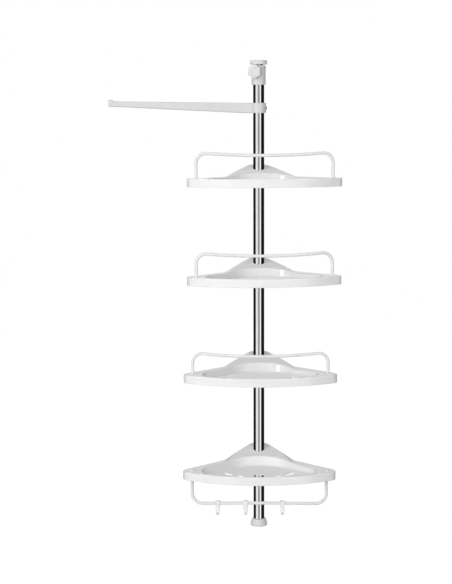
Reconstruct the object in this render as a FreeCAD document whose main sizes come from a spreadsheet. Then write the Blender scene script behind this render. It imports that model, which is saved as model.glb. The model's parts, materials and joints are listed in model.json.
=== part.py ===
import FreeCAD, Part
import Sketcher
import math
import os

# Tension pole shelf unit: a telescopic pole held between a floor pad and a ceiling pad,
# four corner trays on tapered sleeves, wire rails, hooks, a towel arm and a clamp coupling.
# Frame: +Z up, the pole's axis is the Z axis, the floor is z = 0, the trays face -Y and
# the towel arm points along -X. Millimetres.

Vector = FreeCAD.Vector
Rotation = FreeCAD.Rotation
UP = Vector(0, 0, 1)

doc = FreeCAD.newDocument("shelf_unit")
sheet = doc.addObject("Spreadsheet::Sheet", "Sizes")

DRIVING = [
    # pole
    ("pole_diameter", 25, "outer tubes"),
    ("pole_wall", 1.2, "outer tubes"),
    ("pole_foot_seat", 6, "height of the pole's lower end in the foot cup"),
    ("pole_joint_height", 740, "where the two outer tubes meet"),
    ("joint_sleeve_length", 80, "sleeve inside the pole's joint"),
    ("inner_diameter", 19, "telescopic tube"),
    ("inner_wall", 1, "telescopic tube"),
    ("inner_length", 900, "telescopic tube"),
    ("inner_stand_out", 2, "inner tube above the coupling when pushed in"),
    ("bush_length", 14, "guide bush at the pole's top"),
    ("running_gap", 0.08, "radial gap of a running fit"),
    ("free_gap", 0.3, "gap between pieces that pass each other"),
    ("press_gap", 0.1, "gap around a wire or screw in its own bore"),
    # foot
    ("foot_diameter", 38, "foot cup and pad"),
    ("foot_pad_thickness", 3, "rubber"),
    ("foot_cup_height", 13, "above the pad"),
    ("foot_rim_height", 5, "straight part of the cup"),
    ("foot_wall", 3, "cup around the pole"),
    ("foot_spigot_diameter", 14, "pad's spigot in the cup"),
    ("foot_spigot_height", 2, "pad's spigot in the cup"),
    # clamp coupling
    ("coupling_bottom", 1017, "height of its lower face"),
    ("coupling_height", 43, ""),
    ("coupling_diameter", 31.5, ""),
    ("coupling_chamfer", 1, ""),
    ("coupling_socket", 18, "depth of the pole's socket"),
    ("knob_drop", 14, "clamp screw's axis below the coupling's top"),
    ("knob_heading", 20, "degrees from the front towards the towel arm"),
    ("knob_corner_radius", 16.4, "hexagon, centre to corner"),
    ("knob_rounding", 2, "hexagon's corners"),
    ("knob_face_rounding", 1.2, "edge of the knob's faces"),
    ("knob_thickness", 12, ""),
    ("knob_front_cap", 3, "closed front of the knob"),
    ("boss_diameter", 17, "boss that the knob turns against"),
    ("boss_reach", 17.5, "from the pole's axis"),
    ("spindle_diameter", 6, ""),
    ("shoe_diameter", 9, "spindle's foot"),
    ("shoe_thickness", 2, "spindle's foot"),
    ("spindle_travel", 1.5, "from clamped to free"),
    ("knob_nut_width", 10, "brass insert across its flats"),
    ("knob_nut_length", 6, "brass insert"),
    # ceiling plunger
    ("plunger_diameter", 38, "plunger head and ceiling pad"),
    ("plunger_head", 4, "thickness"),
    ("plunger_lift", 2.4, "head above the coupling"),
    ("ceiling_pad_thickness", 5, "rubber"),
    ("pad_spigot_diameter", 14, "pad's spigot in the head"),
    ("pad_spigot_height", 2, "pad's spigot in the head"),
    ("stem_length", 62, "plunger stem inside the inner tube"),
    ("plunger_travel", 25, "spring travel"),
    ("pin_diameter", 3, "plunger's cross pin"),
    ("pin_drop", 22, "cross pin below the inner tube's top"),
    ("spring_wire", 1.8, ""),
    ("spring_diameter", 14.6, "outside"),
    ("spring_turns", 8, ""),
    ("spring_length", 32, "pushed in"),
    ("spring_seat_length", 8, ""),
    # trays
    ("corner_reach", 40.5, "sharp back corner behind the pole's axis"),
    ("front_radius", 296, "front edge's arc"),
    ("front_reach", 201, "front edge before the pole's axis"),
    ("ear_radius", 20, "rounded ends"),
    ("back_radius", 25, "rounded back corner"),
    ("tray_rim", 18.8, "height of the skirt"),
    ("tray_wall", 2.5, ""),
    ("crest_height", 26, "raised back above the rim"),
    ("crest_half_width", 22, "level part of the raised back"),
    ("shoulder_height", 22.8, "where the flank starts"),
    ("shoulder_half_width", 31, "where the flank starts"),
    ("flank_half_width", 78, "where the flank meets the rim"),
    ("crest_front", 20, "level part ends behind the pole's axis"),
    ("entry_height", 13, "surface where the pole's front enters"),
    ("brow_front", 36, "basin's back edge before the pole's axis"),
    ("brow_height", 8.7, "surface at the basin's back edge"),
    ("slope_front", 75, "slope meets the rim before the pole's axis"),
    ("side_margin", 28, "rim along the straight sides"),
    ("front_margin", 6, "rim along the front"),
    ("basin_depth", 13, "below the rim"),
    ("basin_back_radius", 92, ""),
    ("basin_end_radius", 38, ""),
    ("basin_floor_radius", 4, "where the wall meets the floor"),
    ("hub_diameter", 37, "around the sleeve"),
    ("hole_gap", 0.5, "tray's top hole around the pole"),
    ("boss_width", 15, "ear boss around a rail leg"),
    ("boss_rise", 0.8, "above the ear"),
    ("boss_recess", 2.8, "above the skirt's lower edge"),
    ("centre_slot_reach", 143, "front edge of the middle drain slot, before the pole's axis"),
    ("centre_slot_depth", 22, "front to back"),
    ("centre_slot_width", 24, ""),
    ("slot_arc_radius", 97, "drain slots at the sides"),
    ("slot_arc_front", 48, "their arc's centre before the pole's axis"),
    ("slot_width", 14, ""),
    ("inner_slot_start_angle", 20.5, "degrees from the middle"),
    ("inner_slot_angle", 11.5, "degrees"),
    ("outer_slot_start_angle", 36.5, "degrees from the middle"),
    ("outer_slot_angle", 17.5, "degrees"),
    # tapered sleeves
    ("sleeve_bottom_radius", 15.8, ""),
    ("sleeve_top_radius", 14.6, ""),
    ("sleeve_bottom", 18.3, "below the rim's plane"),
    ("sleeve_top", 9.5, "above the rim's plane"),
    ("sleeve_slit", 2, ""),
    # places of the trays: height of the rim's plane, and turn about the pole
    ("top_height", 812.6, ""),
    ("upper_height", 598.7, ""),
    ("lower_height", 381.9, ""),
    ("bottom_height", 164, ""),
    ("top_turn_angle", 5.5, "degrees"),
    ("upper_turn_angle", 5.2, "degrees"),
    ("lower_turn_angle", 1.4, "degrees"),
    ("bottom_turn_angle", 0.3, "degrees"),
    # wire rails
    ("wire_diameter", 7, ""),
    ("rail_corner", 22, "bend at each end"),
    ("rail_bow", 14, "forwards, at the middle"),
    ("rail_sag", 4.7, "towards the tray, at the middle"),
    ("rail_leg", 60, "from the rail's level to the leg's end"),
    ("top_rise", 54, "rail above the rim"),
    ("upper_rise", 50.5, "rail above the rim"),
    ("lower_rise", 46.5, "rail above the rim"),
    ("under_drop", 55, "hanging rail below the skirt"),
    ("rail_screw_diameter", 4, ""),
    ("rail_screw_head", 11, "diameter"),
    ("rail_screw_head_height", 2.2, ""),
    ("rail_screw_length", 15, ""),
    ("under_screw_length", 22, ""),
    ("tapped_depth", 17, "hole in a leg's end"),
    # hooks
    ("hook_width", 10, ""),
    ("hook_tip_width", 5.8, "the upturned tip"),
    ("hook_thickness", 2.6, ""),
    ("hook_drop", 16.8, "from the wire's centre to the bend's centre"),
    ("hook_bend", 4, "inner radius of the tip's bend"),
    ("hook_left", 92, "along the rail from its middle"),
    ("hook_middle", 30, "along the rail from its middle"),
    ("hook_right", 51, "along the rail from its middle"),
    # towel arm
    ("arm_drop", 40.4, "collar's top below the coupling"),
    ("arm_collar_height", 22.4, ""),
    ("arm_collar_diameter", 33, ""),
    ("arm_length", 339.5, "from the pole's axis to the tip"),
    ("arm_rise", 5, "top edge, from collar to tip"),
    ("arm_tip_height", 12.5, ""),
    ("arm_root_thickness", 14, ""),
    ("arm_tip_thickness", 9, ""),
    ("arm_rounding", 3, ""),
    ("arm_taper_start", 30, "lower edge starts to rise"),
    ("arm_taper_end", 325, "lower edge ends its rise"),
    ("nub_length", 10.5, "raised end"),
    ("nub_height", 3.5, "above the arm"),
    ("clamp_heading", 60, "degrees from +X towards the back"),
    ("clamp_ear_reach", 23, "from the pole's axis"),
    ("clamp_ear_width", 13, "both ears and the slit"),
    ("clamp_slit", 2, ""),
    ("clamp_screw_diameter", 4, ""),
    ("clamp_screw_head", 7.5, "diameter"),
    ("clamp_screw_head_height", 2.5, ""),
    ("clamp_nut_width", 7, "across its flats"),
    ("clamp_nut_thickness", 3, ""),
]


# A length that carries its number and the formula that the document keeps.
class Size:
    def __init__(self, number, formula):
        self.number = float(number)
        self.formula = formula

    def __add__(self, other):
        return joined(self, other, "+", lambda a, b: a + b)

    def __radd__(self, other):
        return joined(other, self, "+", lambda a, b: a + b)

    def __sub__(self, other):
        return joined(self, other, "-", lambda a, b: a - b)

    def __rsub__(self, other):
        return joined(other, self, "-", lambda a, b: a - b)

    def __mul__(self, other):
        return joined(self, other, "*", lambda a, b: a * b)

    def __rmul__(self, other):
        return joined(other, self, "*", lambda a, b: a * b)

    def __truediv__(self, other):
        return joined(self, other, "/", lambda a, b: a / b)

    def __neg__(self):
        return joined(0, self, "-", lambda a, b: a - b)

    def __float__(self):
        return self.number


def as_size(value):
    if isinstance(value, Size):
        return value
    return Size(value, "(%.9g)" % value)


def joined(first, second, sign, rule):
    first, second = as_size(first), as_size(second)
    formula = "(%s %s %s)" % (first.formula, sign, second.formula)
    return Size(rule(first.number, second.number), formula)


def root(value):
    return Size(math.sqrt(value.number), "sqrt(%s)" % value.formula)


for row, (alias, number, note) in enumerate(DRIVING, start=1):
    sheet.set("A%d" % row, alias)
    sheet.set("B%d" % row, "%g" % number)
    sheet.setAlias("B%d" % row, alias)
    sheet.set("C%d" % row, note)
doc.recompute()


def size(alias):
    return Size(sheet.get(alias), "Sizes." + alias)


def value(alias):
    return float(sheet.get(alias))


ROOT_TWO = root(as_size(2))


def bind(thing, prop, length):
    length = as_size(length)
    parts = prop.split(".")
    if len(parts) == 1:
        setattr(thing, prop, length.number)
    thing.setExpression(prop, length.formula)


# Puts a piece at a place whose coordinates follow the sheet, turned about one axis.
def place(thing, x=0, y=0, z=0, axis=UP, angle=0.0, rotation=None):
    turned = rotation if rotation is not None else Rotation(axis, angle)
    thing.Placement = FreeCAD.Placement(Vector(float(x), float(y), float(z)), turned)
    for name, length in (("x", x), ("y", y), ("z", z)):
        if isinstance(length, Size):
            thing.setExpression("Placement.Base." + name, length.formula)
    return thing


def cylinder(name, radius, height, sweep=None):
    made = doc.addObject("Part::Cylinder", name)
    bind(made, "Radius", radius)
    bind(made, "Height", height)
    if sweep is not None:
        bind(made, "Angle", sweep)
    return made


def cone(name, low_radius, high_radius, height):
    made = doc.addObject("Part::Cone", name)
    bind(made, "Radius1", low_radius)
    bind(made, "Radius2", high_radius)
    bind(made, "Height", height)
    return made


def box(name, length, width, height):
    made = doc.addObject("Part::Box", name)
    bind(made, "Length", length)
    bind(made, "Width", width)
    bind(made, "Height", height)
    return made


def hexagon(name, corner_radius, height):
    made = doc.addObject("Part::Prism", name)
    made.Polygon = 6
    bind(made, "Circumradius", corner_radius)
    bind(made, "Height", height)
    return made


def fuse(name, pieces):
    made = doc.addObject("Part::MultiFuse", name)
    made.Shapes = pieces
    made.Refine = True
    return made


def cut(name, base, tool):
    made = doc.addObject("Part::Cut", name)
    made.Base = base
    made.Tool = tool
    made.Refine = True
    return made


def rounded(name, base, radius, test):
    doc.recompute()
    made = doc.addObject("Part::Fillet", name)
    made.Base = base
    chosen = [i + 1 for i, edge in enumerate(base.Shape.Edges) if test(edge)]
    made.Edges = [(index, float(radius), float(radius)) for index in chosen]
    return made


# A tube from one height to another.
def tube(name, outer_radius, inner_radius, low, high):
    outside = place(cylinder(name + "_outside", outer_radius, high - low), z=low)
    inside = place(cylinder(name + "_inside", inner_radius, high - low + 2), z=low - 1)
    return cut(name, outside, inside)


def origin_plane(body, role):
    for feature in body.Origin.OriginFeatures:
        if feature.Role == role:
            return feature


def new_sketch(body, role, offset=0):
    sketch = body.newObject("Sketcher::SketchObject", "Sketch")
    sketch.AttachmentSupport = [(origin_plane(body, role), "")]
    sketch.MapMode = "FlatFace"
    sketch.AttachmentOffset = FreeCAD.Placement(Vector(0, 0, float(offset)), Rotation())
    if isinstance(offset, Size):
        sketch.setExpression("AttachmentOffset.Base.z", offset.formula)
    return sketch


# Ties one end of a sketch line to its two coordinates.
def pin_point(sketch, line, end, point):
    for kind, axis, length in (("DistanceX", -2, point[0]), ("DistanceY", -1, point[1])):
        length = as_size(length)
        if abs(length.number) < 1e-9:
            sketch.addConstraint(Sketcher.Constraint("PointOnObject", line, end, axis))
            continue
        if length.number > 0:
            tied = Sketcher.Constraint(kind, -1, 1, line, end, length.number)
            formula = length.formula
        else:
            tied = Sketcher.Constraint(kind, line, end, -1, 1, -length.number)
            formula = (-length).formula
        index = sketch.addConstraint(tied)
        sketch.setExpression("Constraints[%d]" % index, formula)


# A closed outline of straight lines and arcs. Each corner is (x, y) or (x, y, radius, side),
# where radius bends the line that leaves it, bulging to the left (+1) or right (-1).
def outline(sketch, corners):
    flat = [Vector(float(c[0]), float(c[1]), 0) for c in corners]
    count = len(corners)
    for i, corner in enumerate(corners):
        start, end = flat[i], flat[(i + 1) % count]
        if len(corner) == 2:
            sketch.addGeometry(Part.LineSegment(start, end))
            continue
        radius, side = float(corner[2]), corner[3]
        chord = end - start
        height = radius - math.sqrt(radius ** 2 - chord.Length ** 2 / 4)
        left = Vector(-chord.y, chord.x, 0).normalize()
        crown = (start + end) * 0.5 + left * (side * height)
        sketch.addGeometry(Part.Arc(start, crown, end))
    for i, corner in enumerate(corners):
        arc = len(corner) == 4
        start_end = first_point(sketch, i, flat[i]) if arc else 1
        pin_point(sketch, i, start_end, corner)
    for i in range(count):
        after = (i + 1) % count
        here = 3 - first_point(sketch, i, flat[i])
        there = first_point(sketch, after, flat[after])
        sketch.addConstraint(Sketcher.Constraint("Coincident", i, here, after, there))
    for i, corner in enumerate(corners):
        if len(corner) == 4:
            radius = as_size(corner[2])
            index = sketch.addConstraint(Sketcher.Constraint("Radius", i, radius.number))
            sketch.setExpression("Constraints[%d]" % index, radius.formula)


# Which end (1 start, 2 end) of a sketch edge lies at a point: arcs may be stored reversed.
def first_point(sketch, index, point):
    near, far = sketch.getPoint(index, 1), sketch.getPoint(index, 2)
    return 1 if (near - point).Length < (far - point).Length else 2


# A body turned about the pole's axis, or about its own Z axis, from (radius, height) corners.
def turned(name, corners):
    body = doc.addObject("PartDesign::Body", name)
    sketch = new_sketch(body, "XZ_Plane")
    outline(sketch, corners)
    feature = body.newObject("PartDesign::Revolution", "Revolution")
    feature.Profile = sketch
    feature.ReferenceAxis = (sketch, ["V_Axis"])
    feature.Angle = 360
    sketch.Visibility = False
    return body


def pocket(body, sketch, depth=None):
    feature = body.newObject("PartDesign::Pocket", "Pocket")
    feature.Profile = sketch
    if depth is None:
        feature.Type = "ThroughAll"
        feature.Midplane = True
    else:
        bind(feature, "Length", depth)
    doc.recompute()
    return feature


def body_fillet(body, base, radius, test):
    chosen = ["Edge%d" % (i + 1) for i, edge in enumerate(base.Shape.Edges) if test(edge)]
    feature = body.newObject("PartDesign::Fillet", "Fillet")
    feature.Base = (base, chosen)
    bind(feature, "Radius", radius)
    doc.recompute()
    return feature


def upright(edge):
    ends = [vertex.Point for vertex in edge.Vertexes]
    return len(ends) == 2 and math.hypot(ends[0].x - ends[1].x, ends[0].y - ends[1].y) < 1e-6


NODES = {}


def node(name, thing):
    thing.Label = name
    NODES[name] = thing
    return thing


# ---- foot ----

pole_radius = size("pole_diameter") / 2
pole_bore = pole_radius - size("pole_wall")
foot_radius = size("foot_diameter") / 2
foot_top = size("foot_pad_thickness") + size("foot_cup_height")
spigot_radius = size("foot_spigot_diameter") / 2
spigot_top = size("foot_pad_thickness") + size("foot_spigot_height")


def make_foot():
    pad = turned("foot_pad_body", [
        (0, 0), (foot_radius - 0.8, 0), (foot_radius, 0.8),
        (foot_radius, size("foot_pad_thickness")), (spigot_radius, size("foot_pad_thickness")),
        (spigot_radius, spigot_top), (0, spigot_top)])
    node("foot_pad", pad)
    rim_top = size("foot_pad_thickness") + size("foot_rim_height")
    cup = turned("foot_cup_body", [
        (spigot_radius, size("foot_pad_thickness")), (foot_radius, size("foot_pad_thickness")),
        (foot_radius, rim_top), (pole_radius + size("foot_wall"), foot_top),
        (pole_radius, foot_top), (pole_radius, size("pole_foot_seat")),
        (0, size("pole_foot_seat")), (0, spigot_top), (spigot_radius, spigot_top)])
    node("foot_cup", cup)


# ---- pole ----

pole_top = size("coupling_bottom") + size("coupling_socket")
coupling_top = size("coupling_bottom") + size("coupling_height")
inner_radius = size("inner_diameter") / 2
inner_bore = inner_radius - size("inner_wall")
inner_top = coupling_top + size("inner_stand_out")
inner_bottom = inner_top - size("inner_length")
pin_height = inner_top - size("pin_drop")


def make_pole():
    joint = size("pole_joint_height")
    node("lower_pole", tube("lower_pole_tube", pole_radius, pole_bore, size("pole_foot_seat"), joint))
    node("upper_pole", tube("upper_pole_tube", pole_radius, pole_bore, joint, pole_top))
    half = size("joint_sleeve_length") / 2
    sleeve = tube("joint_sleeve_tube", pole_bore, inner_radius + size("free_gap"),
                  joint - half, joint + half)
    node("pole_joint_sleeve", sleeve)
    bush = tube("guide_bush_tube", pole_bore, inner_radius + size("running_gap"),
                pole_top - size("bush_length"), pole_top)
    node("guide_bush", bush)
    inner = tube("inner_tube_plain", inner_radius, inner_bore, inner_bottom, inner_top)
    hole = cylinder("inner_tube_pin_hole", size("pin_diameter") / 2, size("inner_diameter") + 4)
    place(hole, x=-inner_radius - 2, z=pin_height, axis=Vector(0, 1, 0), angle=90)
    node("inner_tube", cut("inner_tube_cut", inner, hole))


# ---- clamp coupling ----

heading = math.radians(value("knob_heading"))
KNOB_WAY = Vector(-math.sin(heading), -math.cos(heading), 0)
KNOB_TURN = Rotation(UP, KNOB_WAY)
shoe_face = inner_radius + size("free_gap")
shoe_pocket_end = shoe_face + size("shoe_thickness") + size("spindle_travel") + size("free_gap")
knob_axis = coupling_top - size("knob_drop")
knob_back = size("boss_reach") + size("free_gap")
knob_front = knob_back + size("knob_thickness")
nut_back = knob_back
nut_front = knob_back + size("knob_nut_length")


# Places a piece that stands on its own Z axis along the clamp screw, from a radius outwards.
def along_screw(piece, reach):
    reach = as_size(reach)
    start = KNOB_WAY * reach.number
    piece.Placement = FreeCAD.Placement(Vector(start.x, start.y, float(knob_axis)), KNOB_TURN)
    side = "(-sin(Sizes.knob_heading * 1 deg) * %s)" % reach.formula
    front = "(-cos(Sizes.knob_heading * 1 deg) * %s)" % reach.formula
    piece.setExpression("Placement.Base.x", side)
    piece.setExpression("Placement.Base.y", front)
    piece.setExpression("Placement.Base.z", knob_axis.formula)
    return piece


def make_coupling():
    radius = size("coupling_diameter") / 2
    chamfer = size("coupling_chamfer")
    low, high = size("coupling_bottom"), coupling_top
    shell = turned("coupling_shell", [
        (pole_radius, low), (radius - chamfer, low), (radius, low + chamfer),
        (radius, high - chamfer), (radius - chamfer, high),
        (inner_radius + size("hole_gap"), high), (inner_radius + size("hole_gap"), pole_top),
        (pole_radius, pole_top)])
    boss_root = inner_radius + size("hole_gap") + 1
    boss = along_screw(cylinder("coupling_boss", size("boss_diameter") / 2,
                                size("boss_reach") - boss_root), boss_root)
    shoe_bore = along_screw(cylinder("coupling_shoe_bore", size("shoe_diameter") / 2 + size("free_gap"),
                                     shoe_pocket_end), 0)
    screw_bore = along_screw(cylinder("coupling_screw_bore", size("spindle_diameter") / 2
                                      + size("running_gap"), size("boss_reach") + 2), 0)
    body = fuse("coupling_with_boss", [shell, boss])
    node("clamp_coupling", cut("coupling_cut", body, fuse("coupling_bores", [shoe_bore, screw_bore])))


def make_knob():
    block = hexagon("knob_block", size("knob_corner_radius"), size("knob_thickness"))
    soft = rounded("knob_soft_corners", block, size("knob_rounding"), upright)
    doc.recompute()
    flat = rounded("knob_soft_faces", soft, size("knob_face_rounding"),
                   lambda edge: abs(edge.BoundBox.ZLength) < 1e-6)
    bore = place(cylinder("knob_bore", size("spindle_diameter") / 2 + size("free_gap"),
                          size("knob_thickness") - size("knob_front_cap") + 1), z=-1)
    seat = place(hexagon("knob_nut_seat", size("knob_nut_width") / 2 / ROOT_THREE * 2,
                         size("knob_nut_length") + 1), z=-1)
    made = cut("knob_cut", flat, fuse("knob_hollow", [bore, seat]))
    node("clamp_knob", along_screw(made, knob_back))
    nut = hexagon("knob_nut_block", size("knob_nut_width") / 2 / ROOT_THREE * 2, size("knob_nut_length"))
    thread = place(cylinder("knob_nut_thread", size("spindle_diameter") / 2 + size("running_gap"),
                            size("knob_nut_length") + 2), z=-1)
    node("knob_nut", along_screw(cut("knob_nut_cut", nut, thread), nut_back))


def make_spindle():
    reach = knob_front - size("knob_front_cap") - size("spindle_travel") - size("free_gap") - shoe_face
    shoe = cylinder("spindle_shoe", size("shoe_diameter") / 2, size("shoe_thickness"))
    rod = cylinder("spindle_rod", size("spindle_diameter") / 2, reach)
    node("clamp_spindle", along_screw(fuse("spindle_whole", [shoe, rod]), shoe_face))


ROOT_THREE = root(as_size(3))

# ---- ceiling plunger ----

head_bottom = coupling_top + size("plunger_lift")
head_top = head_bottom + size("plunger_head")
stem_radius = inner_bore - size("running_gap")
stem_bottom = head_bottom - size("stem_length")
spring_top = stem_bottom - size("free_gap")
spring_bottom = spring_top - size("spring_length")
seat_top = spring_bottom - size("free_gap")


def make_plunger():
    head_radius = size("plunger_diameter") / 2
    dimple = size("pad_spigot_diameter") / 2
    dimple_floor = head_top - size("pad_spigot_height")
    stem = turned("plunger_plain", [
        (0, stem_bottom), (stem_radius, stem_bottom), (stem_radius, head_bottom),
        (head_radius - 1, head_bottom), (head_radius, head_bottom + 1), (head_radius, head_top),
        (dimple, head_top), (dimple, dimple_floor), (0, dimple_floor)])
    half_slot = size("pin_diameter") / 2 + size("free_gap")
    slot_length = size("plunger_travel") + 2 * half_slot
    slot = box("plunger_slot", size("inner_diameter"), 2 * half_slot, slot_length)
    place(slot, x=-inner_radius, y=-half_slot, z=pin_height + half_slot - slot_length)
    node("ceiling_plunger", cut("plunger_cut", stem, slot))
    pad = turned("ceiling_pad_body", [
        (0, dimple_floor), (dimple, dimple_floor), (dimple, head_top), (head_radius, head_top),
        (head_radius, head_top + size("ceiling_pad_thickness") - 0.8),
        (head_radius - 0.8, head_top + size("ceiling_pad_thickness")),
        (0, head_top + size("ceiling_pad_thickness"))])
    node("ceiling_pad", pad)
    pin_length = size("inner_diameter") - 0.4
    pin = cylinder("plunger_pin_rod", size("pin_diameter") / 2, pin_length)
    node("plunger_pin", place(pin, x=pin_length / -2, z=pin_height, axis=Vector(0, 1, 0), angle=90))
    seat = cylinder("spring_seat_plug", inner_bore, size("spring_seat_length"))
    node("spring_seat", place(seat, z=seat_top - size("spring_seat_length")))
    node("plunger_spring", coil_spring())


# The spring: a round wire swept along a helix.
def coil_spring():
    wire = value("spring_wire")
    radius = (value("spring_diameter") - wire) / 2
    rise = value("spring_length") - wire
    pitch = rise / value("spring_turns")
    helix = Part.makeHelix(pitch, rise, radius)
    start = Vector(radius, 0, 0)
    slope = Vector(0, 2 * math.pi * radius, pitch)
    ring = Part.Wire([Part.Circle(start, slope, wire / 2).toShape()])
    spring = doc.addObject("Part::Feature", "plunger_spring_coil")
    spring.Shape = Part.Wire(helix.Edges).makePipeShell([ring], True, True)
    place(spring, z=spring_bottom.number + wire / 2)
    return spring


# ---- trays ----

arc_centre = size("front_radius") - size("front_reach")


# Where the line y = reach - x meets a circle about (0, arc_centre): the x of the right-hand one.
def side_meets_front(reach, radius):
    gap = reach - arc_centre
    return (gap + root(2 * radius * radius - gap * gap)) / 2


# The tray as a solid block without its hollow underside. Inset makes the same block smaller
# by that thickness everywhere: it is the space under the tray.
def tray_block(name, inset):
    body = doc.addObject("PartDesign::Body", name)
    reach = size("corner_reach") - inset * ROOT_TWO
    radius = size("front_radius") - inset
    low = -size("tray_rim") if float(inset) == 0 else -size("tray_rim") - 1
    high = size("crest_height") + 1
    end_x = side_meets_front(reach, radius)
    plan = new_sketch(body, "XY_Plane", low)
    outline(plan, [(0, reach), (end_x, reach - end_x, radius, 1), (-end_x, reach - end_x)])
    pad = body.newObject("PartDesign::Pad", "Pad")
    pad.Profile = plan
    bind(pad, "Length", high - low)
    doc.recompute()
    ends = body_fillet(body, pad, size("ear_radius") - inset,
                       lambda edge: upright(edge) and abs(edge.CenterOfMass.x) > 1)
    back = body_fillet(body, ends, size("back_radius") - inset,
                       lambda edge: upright(edge) and abs(edge.CenterOfMass.x) < 1)
    rim = -inset
    far = 2 * size("front_reach")
    above = high + 1
    for side in (1, -1):
        flank = new_sketch(body, "XZ_Plane")
        crest = size("crest_half_width") * side
        outline(flank, [
            (size("flank_half_width") * side, rim),
            (size("shoulder_half_width") * side, size("shoulder_height") - inset),
            (crest, size("crest_height") - inset), (crest, above),
            (far * side, above), (far * side, rim)])
        pocket(body, flank)
    slope = new_sketch(body, "YZ_Plane")
    outline(slope, [
        (far, size("crest_height") - inset), (size("crest_front"), size("crest_height") - inset),
        (-pole_radius, size("entry_height") - inset), (-size("brow_front"), size("brow_height") - inset),
        (-size("slope_front"), rim), (-far, rim), (-far, above), (far, above)])
    pocket(body, slope)
    return body


# The basin's space as a solid. Inset makes it larger by the thickness of its wall.
def basin_block(name, inset):
    body = doc.addObject("PartDesign::Body", name)
    margin = size("side_margin") - inset
    reach = size("corner_reach") - margin * ROOT_TWO
    radius = size("front_radius") - size("front_margin") + 2 * inset
    bend = size("basin_back_radius") + inset
    bend_x = bend / ROOT_TWO
    corner_x = side_meets_front(reach, radius)
    low = -size("basin_depth") - inset
    plan = new_sketch(body, "XY_Plane", low)
    outline(plan, [
        (-bend_x, reach - bend_x, bend, 1), (bend_x, reach - bend_x),
        (corner_x, reach - corner_x, radius, 1), (-corner_x, reach - corner_x)])
    pad = body.newObject("PartDesign::Pad", "Pad")
    pad.Profile = plan
    bind(pad, "Length", size("crest_height") + 2 - low)
    doc.recompute()
    ends = body_fillet(body, pad, size("basin_end_radius") + inset,
                       lambda edge: upright(edge) and abs(edge.CenterOfMass.x) > float(corner_x) - 1)
    floor_edge = body_fillet(body, ends, size("basin_floor_radius") + inset,
                             lambda edge: abs(edge.BoundBox.ZMax - float(low)) < 1e-6)
    floor_edge.Visibility = True
    return body


def make_shell():
    wall = size("tray_wall")
    block = cut("tray_with_basin", tray_block("tray_block", as_size(0)),
                basin_block("tray_basin", as_size(0)))
    hollow = cut("tray_underside", tray_block("tray_hollow", wall), basin_block("basin_with_wall", wall))
    return cut("tray_shell", block, hollow)


# Cuts of the drain slots: a box in the middle, and at the sides sectors of a ring about a point
# before the pole.
def slot_cuts():
    radius = size("slot_arc_radius")
    half = size("slot_width") / 2
    depth = size("basin_depth") + size("tray_wall")
    angles = []
    for name in ("inner", "outer"):
        start, sweep = size(name + "_slot_start_angle"), size(name + "_slot_angle")
        angles.append((start, sweep))
        angles.append((-start - sweep, sweep))
    sectors = []
    for start, sweep in angles:
        sector = cylinder("slot_sector", radius + half, depth + 2, sweep)
        place(sector, y=-size("slot_arc_front"), z=-depth - 1, angle=float(start) - 90)
        formula = "%s - 90" % start.formula
        sector.setExpression("Placement.Rotation.Angle", "(%s) * 1 deg" % formula)
        sectors.append(sector)
    middle = place(cylinder("slot_middle", radius - half, depth + 4),
                   y=-size("slot_arc_front"), z=-depth - 2)
    sides = cut("side_slots", fuse("slot_sectors", sectors), middle)
    centre = box("centre_slot", size("centre_slot_width"), size("centre_slot_depth"), depth + 2)
    place(centre, x=-size("centre_slot_width") / 2, y=-size("centre_slot_reach"), z=-depth - 1)
    return fuse("tray_slots", [sides, centre])


ear_reach = size("corner_reach") - size("ear_radius") * ROOT_TWO
ear_x = side_meets_front(ear_reach, size("front_radius") - size("ear_radius"))
ear_y = ear_reach - ear_x
boss_bottom = -size("tray_rim") + size("boss_recess")


def make_tray():
    shell = make_shell()
    hub_radius = size("hub_diameter") / 2
    hub = place(cylinder("tray_hub", hub_radius, size("tray_rim") + size("crest_height")),
                z=-size("tray_rim"))
    hub_top = doc.addObject("Part::Common", "tray_hub_under_surface")
    hub_top.Base = hub
    hub_top.Tool = tray_block("hub_limit", as_size(0))
    pieces = [shell, hub_top]
    for side in (1, -1):
        boss = cylinder("ear_boss", size("boss_width") / 2, size("boss_rise") - boss_bottom)
        pieces.append(place(boss, x=ear_x * side, y=ear_y, z=boss_bottom))
    whole = fuse("tray_with_bosses", pieces)
    low, high = size("sleeve_bottom"), size("sleeve_top")
    gap = size("running_gap")
    slope = (size("sleeve_bottom_radius") - size("sleeve_top_radius")) / (low + high)
    taper_low = -size("tray_rim") - 1
    taper_high = high + size("free_gap")
    wide = size("sleeve_top_radius") + gap + slope * (high - taper_low)
    narrow = size("sleeve_top_radius") + gap - slope * (taper_high - high)
    taper = place(cone("hub_taper", wide, narrow, taper_high - taper_low), z=taper_low)
    hole = place(cylinder("hub_hole", pole_radius + size("hole_gap"), size("crest_height") + 4))
    bores = [taper, hole, slot_cuts()]
    for side in (1, -1):
        bore = cylinder("ear_bore", size("wire_diameter") / 2 + size("press_gap"), 2 * size("tray_rim"))
        bores.append(place(bore, x=ear_x * side, y=ear_y, z=-size("tray_rim") - 2))
    return cut("tray_cut", whole, fuse("tray_bores", bores))


def make_sleeve():
    low, high = size("sleeve_bottom"), size("sleeve_top")
    body = place(cone("sleeve_cone", size("sleeve_bottom_radius"), size("sleeve_top_radius"),
                      low + high), z=-low)
    bore = place(cylinder("sleeve_bore", pole_radius + size("running_gap"), low + high + 2), z=-low - 1)
    slit = box("sleeve_slit_box", size("sleeve_slit"), size("sleeve_bottom_radius") + 2, low + high + 2)
    place(slit, x=-size("sleeve_slit") / 2, z=-low - 1)
    return cut("sleeve_cut", body, fuse("sleeve_cuts", [bore, slit]))


# ---- wire rails ----

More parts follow.
